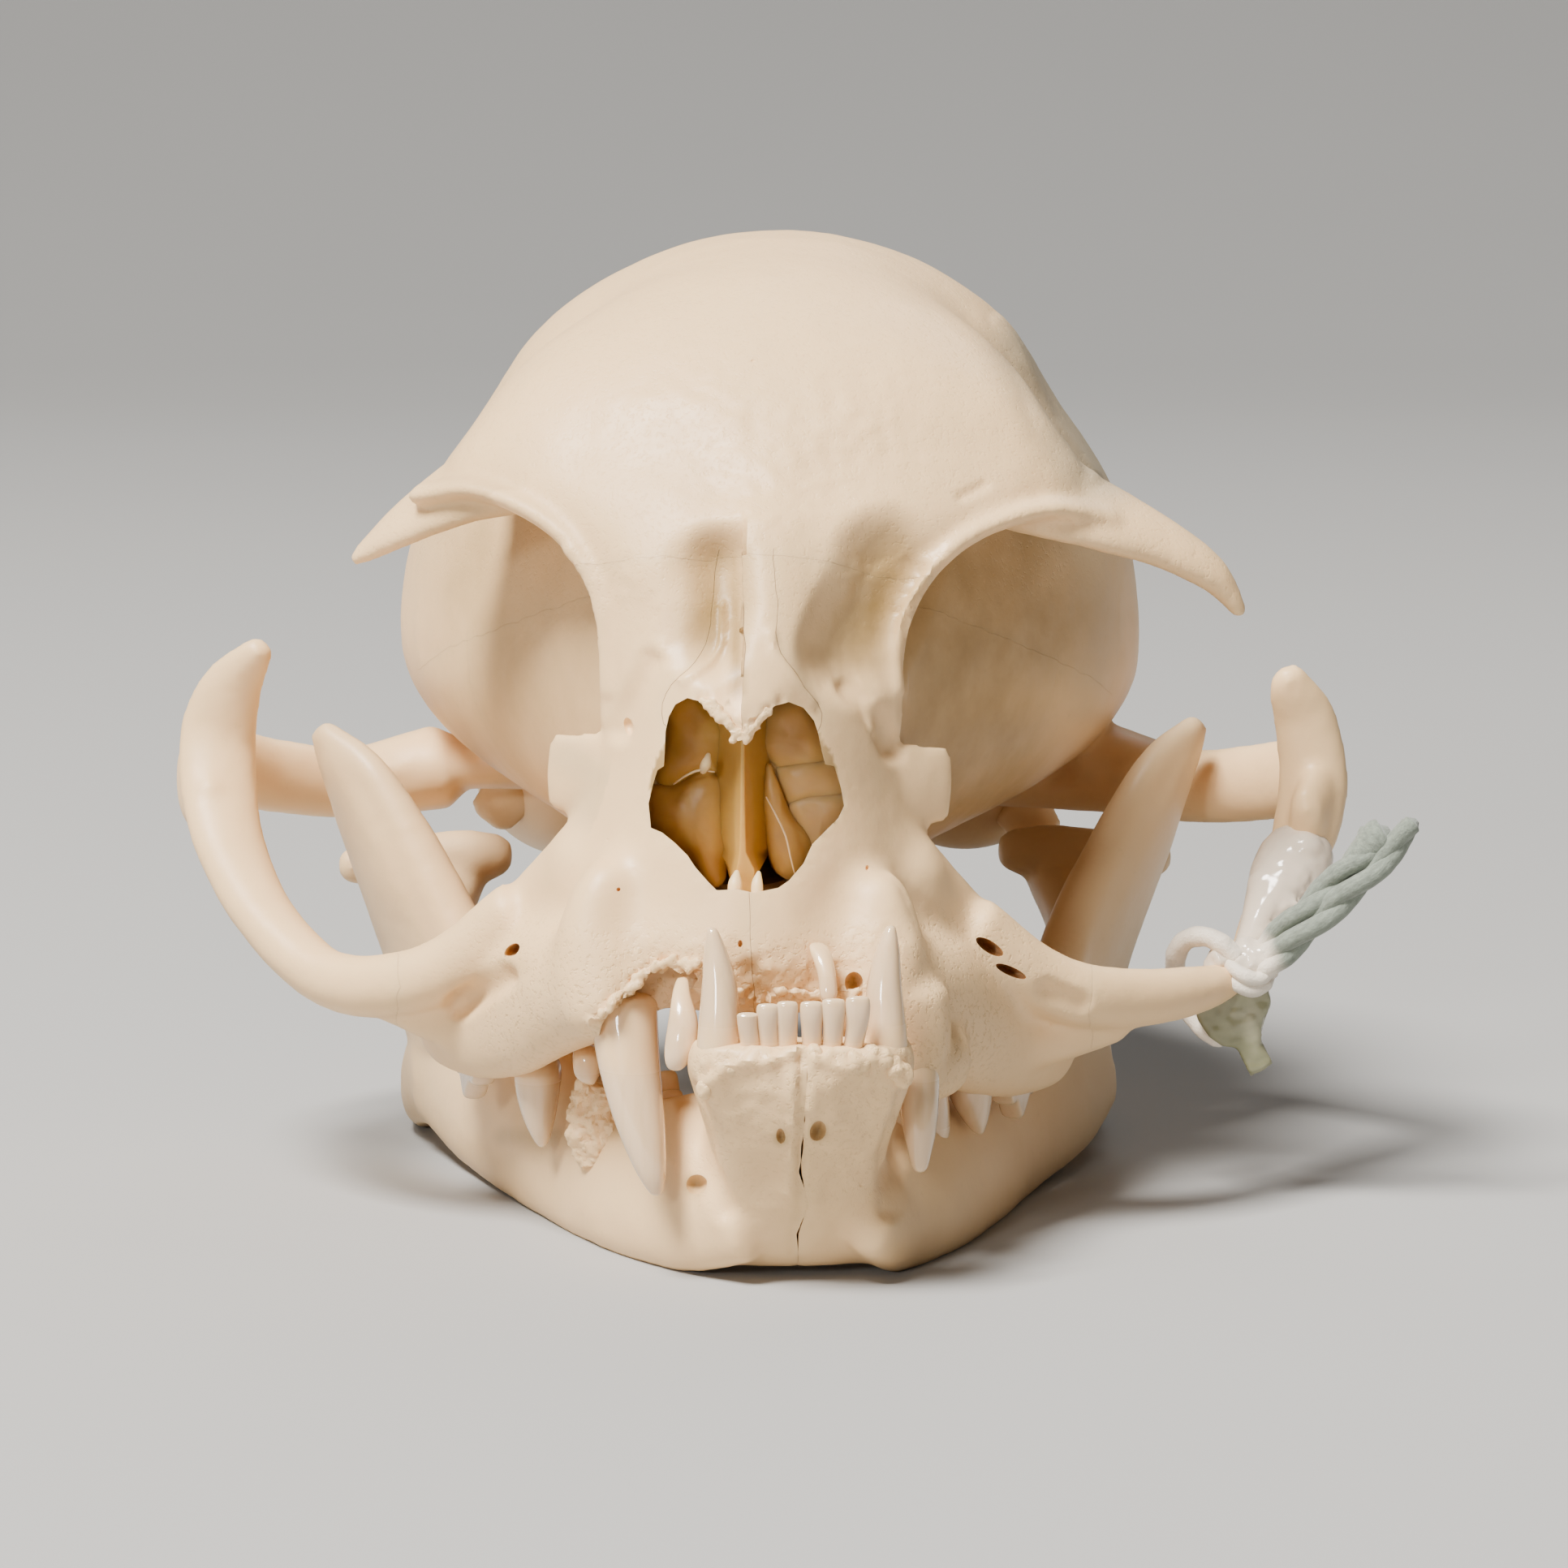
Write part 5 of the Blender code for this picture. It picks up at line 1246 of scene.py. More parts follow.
def enamel_material(finishes):
    """Glossy, slightly see-through enamel, warmer at the neck, with faint lengthwise lines."""
    material, tree = new_material("enamel")
    if tree is None:
        return material
    shader = tree.nodes["Principled BSDF"]
    place = tree.nodes.new("ShaderNodeTexCoord").outputs["Object"]
    stretch = tree.nodes.new("ShaderNodeMapping")
    stretch.inputs["Scale"].default_value = (1.0, 1.0, 0.12)
    tree.links.new(place, stretch.inputs["Vector"])
    lines = grain_noise(tree, stretch.outputs["Vector"], 1700, 2.0, 0.5)
    colour = tint(tree, ranged(tree, lines, 0.45, 0.75, 0.0, 0.3), finishes.enamel, finishes.bone_shade)
    colour = tint(tree, times(tree, share_of(tree, "neck"), 0.8), colour, finishes.bone)
    tree.links.new(colour, shader.inputs["Base Color"])
    tree.links.new(ranged(tree, share_of(tree, "neck"), 0.0, 1.0, 0.14, 0.42), shader.inputs["Roughness"])
    tree.links.new(bumped(tree, lines, 0.12, 0.00008), shader.inputs["Normal"])
    shader.inputs["Subsurface Weight"].default_value = 0.3
    shader.inputs["Subsurface Radius"].default_value = (1.0, 0.8, 0.6)
    shader.inputs["Subsurface Scale"].default_value = 0.0009
    shader.inputs["Coat Weight"].default_value = 1.0
    shader.inputs["Coat Roughness"].default_value = 0.05
    return material


def thin_bone_material(finishes):
    """The paper-thin scrolled bones in the nose: stained, with paler edges; their ochre is partly painted glow
    of light shining through.
    """
    material, tree = new_material("thin_bone_and_glow")
    if tree is None:
        return material
    shader = tree.nodes["Principled BSDF"]
    place = tree.nodes.new("ShaderNodeTexCoord").outputs["Object"]
    clouds = ranged(tree, grain_noise(tree, place, 240, 4.0, 0.6), 0.35, 0.75)
    clouded = tint(tree, clouds, finishes.thin_bone_and_glow, finishes.thin_bone_pale)
    colour = tint(tree, share_of(tree, "edge"), clouded, finishes.thin_bone_edge)
    tree.links.new(colour, shader.inputs["Base Color"])
    tree.links.new(ranged(tree, clouds, 0.0, 1.0, 0.35, 0.5), shader.inputs["Roughness"])
    tree.links.new(bumped(tree, grain_noise(tree, place, 900, 3.0, 0.6), 0.25, 0.0001),
                   shader.inputs["Normal"])
    shader.inputs["Subsurface Weight"].default_value = 0.4
    shader.inputs["Subsurface Radius"].default_value = (1.0, 0.6, 0.25)
    shader.inputs["Subsurface Scale"].default_value = 0.0015
    return material


def glue_material(finishes, name, body):
    """Clear set glue: glossy, faintly yellow, with ripples."""
    material, tree = new_material(name)
    if tree is None:
        return material
    shader = tree.nodes["Principled BSDF"]
    place = tree.nodes.new("ShaderNodeTexCoord").outputs["Object"]
    ripples = grain_noise(tree, place, 450, 3.0, 0.5)
    tree.links.new(tint(tree, ranged(tree, ripples, 0.4, 0.8, 0.0, 0.25), body, finishes.glued_string),
                   shader.inputs["Base Color"])
    tree.links.new(ranged(tree, ripples, 0.0, 1.0, 0.05, 0.16), shader.inputs["Roughness"])
    tree.links.new(bumped(tree, ripples, 0.2, 0.0002), shader.inputs["Normal"])
    shader.inputs["IOR"].default_value = 1.47
    shader.inputs["Transmission Weight"].default_value = 0.3
    return material


def string_material(finishes):
    """Twisted cotton yarn with fuzzy fibres running along it."""
    material, tree = new_material("cotton_string")
    if tree is None:
        return material
    shader = tree.nodes["Principled BSDF"]
    place = tree.nodes.new("ShaderNodeTexCoord").outputs["Object"]
    along = tree.nodes.new("ShaderNodeUVMap")
    along.uv_map = "yarn"
    fibres = tree.nodes.new("ShaderNodeTexNoise")
    fibres.inputs["Scale"].default_value = 14
    fibres.inputs["Detail"].default_value = 5.0
    fibres.inputs["Roughness"].default_value = 0.7
    tree.links.new(along.outputs["UV"], fibres.inputs["Vector"])
    fluff = grain_noise(tree, place, 3200, 3.0, 0.7)
    pale = [min(1.0, c * 1.45) for c in finishes.string]
    dark = [c * 0.6 for c in finishes.string]
    colour = tint(tree, ranged(tree, fibres.outputs["Fac"], 0.3, 0.7), dark, pale)
    colour = tint(tree, times(tree, fluff, 0.5), colour, finishes.string)
    colour = tint(tree, share_of(tree, "glued"), colour, finishes.glued_string)
    tree.links.new(colour, shader.inputs["Base Color"])
    tree.links.new(ranged(tree, share_of(tree, "glued"), 0.0, 1.0, 0.9, 0.22), shader.inputs["Roughness"])
    rough = bumped(tree, fibres.outputs["Fac"], 0.6, 0.00015)
    tree.links.new(bumped(tree, fluff, 0.5, 0.0001, rough), shader.inputs["Normal"])
    shader.inputs["Sheen Weight"].default_value = 0.35
    shader.inputs["Sheen Roughness"].default_value = 0.5
    return material


def floor_material(finishes):
    """A plain matt floor with the faintest unevenness."""
    material, tree = new_material("pale_floor")
    if tree is None:
        return material
    shader = tree.nodes["Principled BSDF"]
    place = tree.nodes.new("ShaderNodeTexCoord").outputs["Object"]
    mottle = grain_noise(tree, place, 8, 3.0, 0.5)
    darker = [c * 0.96 for c in finishes.floor]
    tree.links.new(tint(tree, mottle, finishes.floor, darker), shader.inputs["Base Color"])
    shader.inputs["Roughness"].default_value = 0.8
    return material


# The upper skull

def front_of_skull():
    """The forehead shield with the orbits hollowed out of its underside."""
    front = stack("front", [shield_ring(*row) for row in dense(FOREHEAD, 6)])
    centre, radii, turn = ORBIT_HOLLOW
    for side, _ in SIDES:
        carve(front, ball(centre, radii, side, turn), solver="EXACT")
    return front


def big_forms():
    """The large rounded forms that blend into each other."""
    forms = [
        front_of_skull(),
        stack("case", [egg_ring(*row) for row in dense(BRAINCASE, 6)]),
        stack("face", [face_ring(*row) for row in dense(FACE, 4)]),
        bar(NASAL_BRIDGE, (1, 0, 0)),
        bar(PALATE, (1, 0, 0)),
        ball(*OCCIPITAL_PLATE),
        ball(*BASIOCCIPITAL),
    ]
    for side, _ in SIDES:
        forms.append(bar(CANINE_RIDGE, (1, 0, 0), side))
        forms.append(bar(CHEEK, (0, 0, 1), side))
        forms.append(bar(ORBIT_FLOOR, (0, 0, 1), side))
        forms.append(bar(PALATINE_WALL, (0, 0, 1), side))
        forms.append(ball(*BULLA_BED, side))
        forms.append(ball(*OCCIPITAL_CONDYLE, side))
    return forms


def thin_forms():
    """Rims, processes, arches and crests, each side with its own shape where they differ."""
    forms = []
    for side, _ in SIDES:
        right = side == RIGHT
        forms.append(bar(ORBIT_RIM, (0, 1, 0), side))
        forms.append(bar(POSTORBITAL_RIGHT if right else POSTORBITAL_LEFT, (0, 1, 0.6), side))
        if not right:
            forms.append(bar(CANINE_COVER, (1, 0, 0), side))
        forms.append(bar(LACRIMAL_FLANGE, (0, 0, 1), side))
        forms.append(bar(ARCH_FRONT_RIGHT if right else ARCH_FRONT_LEFT, (1, 0, 0.6), side))
        forms.append(bar(ARCH_LOWER_ROOT, (0, 0, 1), side))
        up, share = ARCH_BACK_SEAT[side]
        forms.append(bar([(x, y, z + up, a * share, b) for x, y, z, a, b in ARCH_BACK], (0, 0, 1), side))
        forms.append(bar(GLENOID, (0, 0, 1), side))
        forms.append(bar(POSTGLENOID, (1, 0, 0), side))
        forms.append(bar(NUCHAL_CREST, (0, 1, 0.2), side))
        forms.append(bar(PARAOCCIPITAL, (1, 0, 0), side))
    return forms


def nasal_opening():
    """The heart-shaped nasal opening, flared to follow the camera's rays."""
    near, far = NASAL_EDGE
    return stack("opening", [[seen_at(pixel, y) for pixel in NASAL_OUTLINE] for y in (near, far)])


def socket():
    """The ragged notch round the root of the right upper canine."""
    return stack("socket", [[seen_at(pixel, y) for pixel in SOCKET_OUTLINE] for y in SOCKET_DEPTHS])


def front_at(piece, pixel, reach=NEARBY_PIXELS):
    """The depth y of the piece's nearest surface round a pixel."""
    points = points_of(piece)
    across, down, _ = picture_of(points)
    away = np.hypot(across - pixel[0], down - pixel[1])
    return float(points[away < max(reach, away.min() + 2.0), 1].min())


def hole(piece, pixel, radii, tilt):
    """A small cutter for a foramen on a surface, pointing away from the camera."""
    place = seen_at(pixel, front_at(piece, pixel))
    bpy.ops.mesh.primitive_uv_sphere_add(
        segments=24, ring_count=12, radius=MM, location=place * MM,
        rotation=(math.radians(-CAMERA_ELEVATION), math.radians(-tilt), 0.0), scale=radii)
    bpy.ops.object.transform_apply()
    return bpy.context.object


def resampled(line, count):
    """A line of points brought to this many equal parts, each by its share of the length."""
    line = [Vector(p) for p in line]
    marks = [0.0]
    for a, b in zip(line, line[1:]):
        marks.append(marks[-1] + (b - a).length)
    points, k = [], 0
    for i in range(count + 1):
        target = marks[-1] * i / count
        while k < len(line) - 2 and marks[k + 1] < target:
            k += 1
        points.append(line[k].lerp(line[k + 1], (target - marks[k]) / (marks[k + 1] - marks[k])))
    return points


def suture(piece, first, last, width, wave=0.22, seated=True):
    """Cut a narrow, slightly wavy gap along the sheet between two lines of like points."""
    length = max(sum((Vector(b) - Vector(a)).length for a, b in zip(line, line[1:])) for line in (first, last))
    gap = max((Vector(a) - Vector(b)).length for a, b in zip(first, last))
    rows = [resampled(line, max(2, round(length / SEAM_STEP))) for line in (first, last)]
    count = max(2, round(gap / SEAM_STEP))
    points = np.array([tuple(a.lerp(b, j / count)) for j in range(count + 1) for a, b in zip(*rows)])
    bpy.ops.mesh.primitive_grid_add(x_subdivisions=len(rows[0]) - 1, y_subdivisions=count, size=MM)
    sheet = bpy.context.object
    put_points(sheet, points)
    ways = normals_of(sheet)
    waves = np.array([noise.noise(Vector(p) * 0.9) for p in points])
    put_points(sheet, points + ways * (waves * wave)[:, None])
    wall = sheet.modifiers.new("gap", "SOLIDIFY")
    wall.thickness = width
    wall.offset = 0.0
    settle(sheet)
    if seated:
        seat_cranium(sheet)
    return carve(piece, sheet)


def tell_bones_apart(bodies):
    """Each body of the parted cranium under its bone's name; crumbs are dropped."""
    places = dict(MIDDLE_BONES)
    for bone, (x, y, z) in SIDE_BONES.items():
        for side, word in SIDES:
            places[bone + "_" + word] = (x * side, y, z)
    bones = {}
    for name, point in places.items():
        bones[name] = min(bodies, key=lambda one: box_reach(one, point))
        bodies.remove(bones[name])
    for crumb in bodies:
        bpy.data.objects.remove(crumb)
    return bones


def box_reach(body, point):
    """How far a point lies outside the body's box, and the box's size to settle ties."""
    corners = points_of(body)
    low, high = corners.min(0), corners.max(0)
    outside = np.maximum(low - point, 0).sum() + np.maximum(point - high, 0).sum()
    return outside, (high - low).sum()


def cut_across(piece, low, high, half_width, width):
    """A seam right across the skull between two (y, z) places."""
    overrun = (Vector(high) - Vector(low)).normalized() * SEAM_OVERRUN
    low, high = Vector(low) - overrun, Vector(high) + overrun
    ends = [[(x, *low), (x, *high)] for x in (-half_width, half_width)]
    suture(piece, *ends, width)


def part_bones(piece, width):
    """Cut the sutures of the upper skull and name the bones."""
    cut_across(piece, BROW_FRONT, BROW_BACK, BROW_HALF_WIDTH, width)
    cut_across(piece, BROW_BACK, CORONAL_TOP, CORONAL_HALF_WIDTH, width)
    cut_across(piece, FACE_BACK_FOOT, BROW_MIDDLE, FACE_HALF_WIDTH, width)
    cut_across(piece, OCCIPITAL_FOOT, OCCIPITAL_TOP, OCCIPITAL_HALF_WIDTH, width)
    foot = MIDLINE[0][1]
    front = [(x, MIDLINE_FRONT, z) for x, z in MIDLINE]
    back = [(0.5 * x, MIDLINE_BACK, foot + (z - foot) * MIDLINE_SHRINK) for x, z in MIDLINE]
    suture(piece, front, back, width * SNOUT_SEAM, SNOUT_WAVE, seated=False)
    for line in (NASAL_SIDE_RIGHT, NASAL_SIDE_LEFT):
        suture(piece, *[[seen_at(pixel, y) for pixel in line] for y in NASAL_DEPTHS],
               width * SNOUT_SEAM, SNOUT_WAVE, seated=False)
    ends = [[(x, y, z) for y, z in NASAL_BACK] for x in (-NASAL_BACK_HALF_WIDTH, NASAL_BACK_HALF_WIDTH)]
    suture(piece, *ends, width)
    for side, _ in SIDES:
        for ends, heights in ((ZYGOMATIC_ROOT, ZYGOMATIC_ROOT_HEIGHTS), (ZYGOMATIC_END, ZYGOMATIC_END_HEIGHTS)):
            suture(piece, *[[(x * side, y, z) for x, y in ends] for z in heights], width, 0.3)
    return tell_bones_apart(loose_bodies(piece))


def paint_bone_stain_and_shade(piece):
    """Where the bone is stained, grey or porous, and where shade is painted into it."""
    points = points_of(piece)
    side, y, z = np.abs(points[:, 0] - CRANIUM_MIDDLE), points[:, 1], points[:, 2]
    edge, slope, start = ORBIT_EDGE
    behind, bottom, top, outwards, backwards, inwards = ORBIT_FADES
    inside = smooth_share(y - (edge + slope * (side - start)), *behind)
    inside *= smooth_share(z, *bottom) * (1 - smooth_share(z, *top))
    inside *= (1 - smooth_share(side, *outwards)) * (1 - smooth_share(y, *backwards)) * smooth_share(side,
                                                                                                     *inwards)
    # Painted shade: the orbit away from the light gets the stronger share
    inside *= np.where(points[:, 0] > 0, ORBIT_STAIN_AND_SHADE_LEFT, ORBIT_STAIN_AND_SHADE_RIGHT)
    centre, radii = NASAL_CAVITY
    nose = 1 - smooth_share(np.linalg.norm((points - np.array(centre)) / np.array(radii), axis=1), 1.02, 1.04)
    (u, v), (wide, tall), depth = NOSE_OVAL
    across, down, _ = picture_of(points)
    nose = np.maximum(nose, (np.hypot((across - u) / wide,
                                      (down - v) / tall) < 1) * (y > depth) * (y < NOSE_STAIN_BACK))
    # Stain, with painted shade in the hollows beside the nasal bones, along the midline step and in the orbit
    # away from the light
    set_share(piece, "stain_and_shade", np.maximum(np.maximum(inside, nose), painted(piece, SKULL_STAINS_AND_SHADE)))
    # Grey bone, with painted shade on the crown's side away from the light
    set_share(piece, "grey_and_shade", np.maximum(painted(piece, SKULL_GREY_AND_SHADE), 0.45 * smooth_share(y, 54.0, 66.0)))
    low = (1 - smooth_share(z, 18.0, 21.0)) * (1 - smooth_share(y, 14.0, 20.0))
    set_share(piece, "pores", 0.25 * smooth_share(z, 34.0, 38.0) + 0.7 * low)


def finish_bones(bones, finishes):
    """Stain every bone, paint shade into it, and put it in the frame under its own name."""
    for name, bone in bones.items():
        bone.name = name + "_bone"
        paint_bone_stain_and_shade(bone)
        finished(bone, bone_material(finishes), [name])


class SKULL_OT_cranium(bpy.types.Operator):
    """Blend the forms of the upper skull into one skin, open it, and part it into bones"""
    bl_idname = "skull.cranium"
    bl_label = "Upper Skull"

    def execute(self, context):
        sizes, finishes = context.scene.skull_sizes, context.scene.skull_finishes
        coarse = 1.0
        core = melt("core", big_forms(), sizes.core_grain * coarse, CORE_SPREAD)
        skull = melt("skull", [core, *thin_forms()], sizes.bone_grain * coarse, FINE_SPREAD)
        for tool in (ball(*FORAMEN_MAGNUM), ball(*BRAIN_CAVITY)):
            carve(skull, tool)
        bubbles = {"bulla_" + word: self.bulla(side, word, skull) for side, word in SIDES}
        seat_cranium(skull, *bubbles.values())
        draw_in(skull)
        weather(skull)
        draw(skull, SKULL_MARKS)
        roughen(skull, SKULL_ROUGHNESS)
        carve(skull, ball(*NASAL_CAVITY))
        carve(skull, nasal_opening(), solver="EXACT")
        carve(skull, socket(), solver="EXACT")
        for spec in UPPER_HOLES:
            carve(skull, hole(skull, *spec))
        bones = part_bones(skull, sizes.suture)
        for name in ("nasal_right", "maxilla_right", "frontal"):
            sink(bones[name], *NASAL_SINK)
        finish_bones({**bones, **bubbles}, finishes)
        return {"FINISHED"}

    def bulla(self, side, word, skull):
        centre = BULLA_RIGHT if side == RIGHT else BULLA_LEFT
        bubble = ball(centre, BULLA_RADII, side, BULLA_TURN, 96)
        return keep_largest(carve(bubble, copy_of(skull, "bed")), "bulla_" + word)


# Inside the nose

def closed_curve(outline, steps):
    """A smooth closed line through the outline's pixels."""
    wrapped = [outline[-1], *outline, outline[0], outline[1]]
    return dense(wrapped, steps)[steps:-steps - 1]


def shell(outline, rim, bulge, paleness):
    """A thin bulging shell behind an outline in the picture, paler along its rim."""
    line = closed_curve(outline, 6)
    middle = Vector((sum(u for u, v in line) / len(line), sum(v for u, v in line) / len(line)))
    rings = [[seen_at(pixel, rim + SHELL_BACK) for pixel in line]]
    for step in range(11):
        angle = 0.5 * math.pi * step / 10.6
        size, y = math.cos(angle) ** 0.8, rim - bulge * math.sin(angle)
        rings.append([seen_at(middle + (Vector(pixel) - middle) * size, y) for pixel in line])
    piece = stack("shell", rings)
    points, normals = points_of(piece), normals_of(piece)
    ripple = np.array([noise.noise(Vector(p) * 0.6) + 0.3 * noise.noise(Vector(p) * 1.9) for p in points])
    put_points(piece, points + normals * (0.20 * ripple)[:, None])
    near_rim = 1 - smooth_share(rim - points[:, 1], 0.1, 0.5 * bulge)
    set_share(piece, "edge", paleness * (0.7 + 0.3 * near_rim))
    return piece


def crest(stations):
    """A small white ridge or peg through places in the picture: pixel, depth and radius."""
    rows = [(*seen_at((u, v), y), radius, radius) for u, v, y, radius in stations]
    piece = bar(rows, (0, 1, 0), sides=10, steps=4)
    set_share(piece, "edge", np.ones(len(piece.data.vertices)))
    return piece


class SKULL_OT_nasal_cavity(bpy.types.Operator):
    """The upright septum and the scrolled bones beside it"""
    bl_idname = "skull.nasal_cavity"
    bl_label = "Inside the Nose"

    def execute(self, context):
        septum = stack("septum", [[seen_at((u, v), y) for u, v in outline] for y, outline in SEPTUM_SECTIONS])
        bevel = septum.modifiers.new("rounded", "BEVEL")
        bevel.width = 0.12 * MM
        bevel.segments = 3
        settle(septum)
        set_share(septum, "edge", smooth_share(-points_of(septum)[:, 1], -11.8, -11.0) * 0.25)
        backing = stack("backing", [[seen_at(pixel, y) for pixel in NOSE_BACKING] for y in NOSE_BACKING_DEPTHS])
        set_share(backing, "edge", np.zeros(len(backing.data.vertices)))
        inside = [backing] + [shell(*spec) for spec in SHELLS] + [crest(spec) for spec in CRESTS]
        piece = joined("nasal_septum_bone", [septum, *inside])
        finished(piece, thin_bone_material(context.scene.skull_finishes), ["nasal_septum"])
        return {"FINISHED"}


# Teeth

def tooth(name, stations, sides=16, neck=0.0):
    """A tooth grown from a ring: extruded and resized from station to station up to its tip."""
    x, y, z, a, b = stations[0]
    bpy.ops.mesh.primitive_circle_add(
        vertices=sides, radius=MM, fill_type="NGON", location=(x * MM, y * MM, z * MM))
    piece = bpy.context.object
    piece.name = name
    bpy.ops.object.transform_apply()
    bpy.ops.object.mode_set(mode="EDIT")
    bpy.ops.transform.resize(value=(a, b, 1.0), center_override=(x * MM, y * MM, z * MM))
    for low, high in zip(stations, stations[1:]):
        step = [(q - p) * MM for p, q in zip(low[:3], high[:3])]
        bpy.ops.mesh.extrude_region_move(TRANSFORM_OT_translate={"value": step})
        bpy.ops.transform.resize(value=(high[3] / low[3], high[4] / low[4], 1.0),
                                 center_override=[p * MM for p in high[:3]])
    bpy.ops.mesh.select_all(action="SELECT")
    bpy.ops.mesh.normals_make_consistent(inside=False)
    bpy.ops.object.mode_set(mode="OBJECT")
    rounded = piece.modifiers.new("rounded", "SUBSURF")
    rounded.levels = rounded.render_levels = 2
    settle(piece)
    height = points_of(piece)[:, 2]
    from_root = np.abs(height - stations[0][2])
    set_share(piece, "neck", 1 - smooth_share(from_root, neck, neck + 1.4))
    return piece


def canine(name, stations, side, neck):
    """A canine through dense stations, so that its curve is smooth."""
    rows = [(x * side, y, z, a, b) for x, y, z, a, b in dense(stations, 3)]
    return tooth(name, rows, neck=neck)


def grains(name, line, band, count, smallest, largest, depth, bone):
    """Small rounded grains scattered along a line on a bone and melted together."""
    spread, lumps = random.Random(CHIP_SEED + count), []
    path = resampled([(*pixel, 0) for pixel in line], count - 1)
    for spot in path:
        pixel = spot.x + spread.uniform(-band, band), spot.y + spread.uniform(-band, band)
        size = spread.uniform(smallest, largest)
        y = front_at(bone, pixel, 14.0) + depth
        lumps.append(ball(seen_at(pixel, y), (size, size, size * spread.uniform(0.8, 1.2)), segments=12))
    return rough_bone(name, lumps, GRAIN_MELT, 0.12)


def rough_bone(name, lumps, grain, height):
    """Lumps of bone melted together and broken up, with the bone's shares."""
    piece = melt(name, lumps, grain, 0.16)
    points = points_of(piece)
    bumps = np.array([noise.noise(Vector(p) * 1.6) + 0.6 * noise.noise(Vector(p) * 4.0) for p in points])
    put_points(piece, points + normals_of(piece) * (height * bumps)[:, None])
    for share in ("stain_and_shade", "grey_and_shade"):
        set_share(piece, share, np.zeros(len(points)))
    set_share(piece, "pores", np.full(len(points), 0.6))
    return piece


class SKULL_OT_rough_edges(bpy.types.Operator):
    """Granular bone along the nasal tips, the front of the palate and the chin, and chips by the premolar"""
    bl_idname = "skull.rough_edges"
    bl_label = "Rough Edges"

    def execute(self, context):
        material = bone_material(context.scene.skull_finishes)
        for name, slot, *spec in RUBBLE:
            host = bpy.data.objects[slot + "_bone"]
            whole = copy_of(host, "host")
            whole.data.transform(Matrix.Translation(Vector(FRAME_SHIFT) * -MM))
            piece = grains(name, *spec, whole)
            bpy.data.objects.remove(whole)
            finished(piece, material)
        lumps = [ball(seen_at(pixel, y), (size, 0.7 * size, size), segments=20) for pixel, y, size in CHIPS]
        finished(rough_bone("bone_chips", lumps, CHIP_MELT, 0.30), material)
        return {"FINISHED"}


class SKULL_OT_canines(bpy.types.Operator):
    """The four canines"""
    bl_idname = "skull.canines"
    bl_label = "Canines"

    def execute(self, context):
        material = enamel_material(context.scene.skull_finishes)
        for side, word in SIDES:
            upper = canine("upper_canine_" + word + "_tooth",
                           UPPER_CANINE_RIGHT if side == RIGHT else UPPER_CANINE_LEFT, side,
                           UPPER_CANINE_NECK)
            seat_cranium(upper)
            finished(upper, material, ["upper_canine_" + word], 180)
            lower = canine("lower_canine_" + word + "_tooth", LOWER_CANINE, side, LOWER_CANINE_NECK)
            seat_jaw(lower)
            finished(lower, material, ["lower_canine_" + word], 180)
        return {"FINISHED"}


class SKULL_OT_incisors(bpy.types.Operator):
    """The six lower incisors, the upper peg and the upper incisor that has slipped down"""
    bl_idname = "skull.incisors"
    bl_label = "Incisors"

    def execute(self, context):
        material = enamel_material(context.scene.skull_finishes)
        for name, slot, depths, rows in INCISORS:
            stations = []
            for (u, v, across_half, deep_half), y in zip(rows, depths):
                stations.append((*seen_at((u, v), y), across_half, deep_half))
            piece = tooth(name, stations, 12, neck=0.9)
            finished(piece, material, (), 180)
        return {"FINISHED"}


class SKULL_OT_cheek_teeth(bpy.types.Operator):
    """The blade-shaped cheek teeth of both jaws, their crowns with two or three points"""
    bl_idname = "skull.cheek_teeth"
    bl_label = "Cheek Teeth"

    def execute(self, context):
        material = enamel_material(context.scene.skull_finishes)
        for side, word in SIDES:
            upper = [self.blade(row, side, -1) for row in UPPER_BLADES]
            seat_cranium(*upper)
            finished(joined("upper_cheek_teeth_" + word, upper), material, (), 60)
            lower = [self.blade(row, side, 1) for row in LOWER_CHEEK_TEETH]
            seat_jaw(*lower)
            finished(joined("lower_cheek_teeth_" + word, lower), material, (), 60)
        return {"FINISHED"}

    def blade(self, row, side, up):
        """One crown: a blade with a tall middle point and a small one before and behind it."""
        x, y, z, half_length, height = row
        lean = CHEEK_TOOTH_LEAN * side
        bpy.ops.mesh.primitive_grid_add(x_subdivisions=12, y_subdivisions=8, size=MM)
        crown = bpy.context.object
        flat = points_of(crown)
        along, rise = flat[:, 0] * 2, flat[:, 1] + 0.5
        profile = 0.42 + 0.58 * np.exp(-(along / 0.34) ** 2)
        profile += 0.16 * np.exp(-((np.abs(along) - 0.72) / 0.16) ** 2)
        profile *= 1 - 0.55 * np.clip(np.abs(along) - 0.86, 0, 1) / 0.14
        tall = -CHEEK_TOOTH_ROOT + (CHEEK_TOOTH_ROOT + height * profile) * rise
        length = half_length * along * (1 - 0.12 * rise)
        points = np.stack((x * side + lean * length, y + length, z + up * tall), axis=1)
        put_points(crown, points)
        wall = crown.modifiers.new("thickness", "SOLIDIFY")
        wall.thickness = CHEEK_TOOTH_THICKNESS * 1.5 * MM
        wall.offset = 0.0
        rounded = crown.modifiers.new("rounded", "SUBSURF")
        rounded.levels = rounded.render_levels = 2
        settle(crown)
        from_root = np.abs(points_of(crown)[:, 2] - z + up * CHEEK_TOOTH_ROOT)
        set_share(crown, "neck", 1 - smooth_share(from_root, *CHEEK_TOOTH_NECK))
        return crown


# The lower jaw

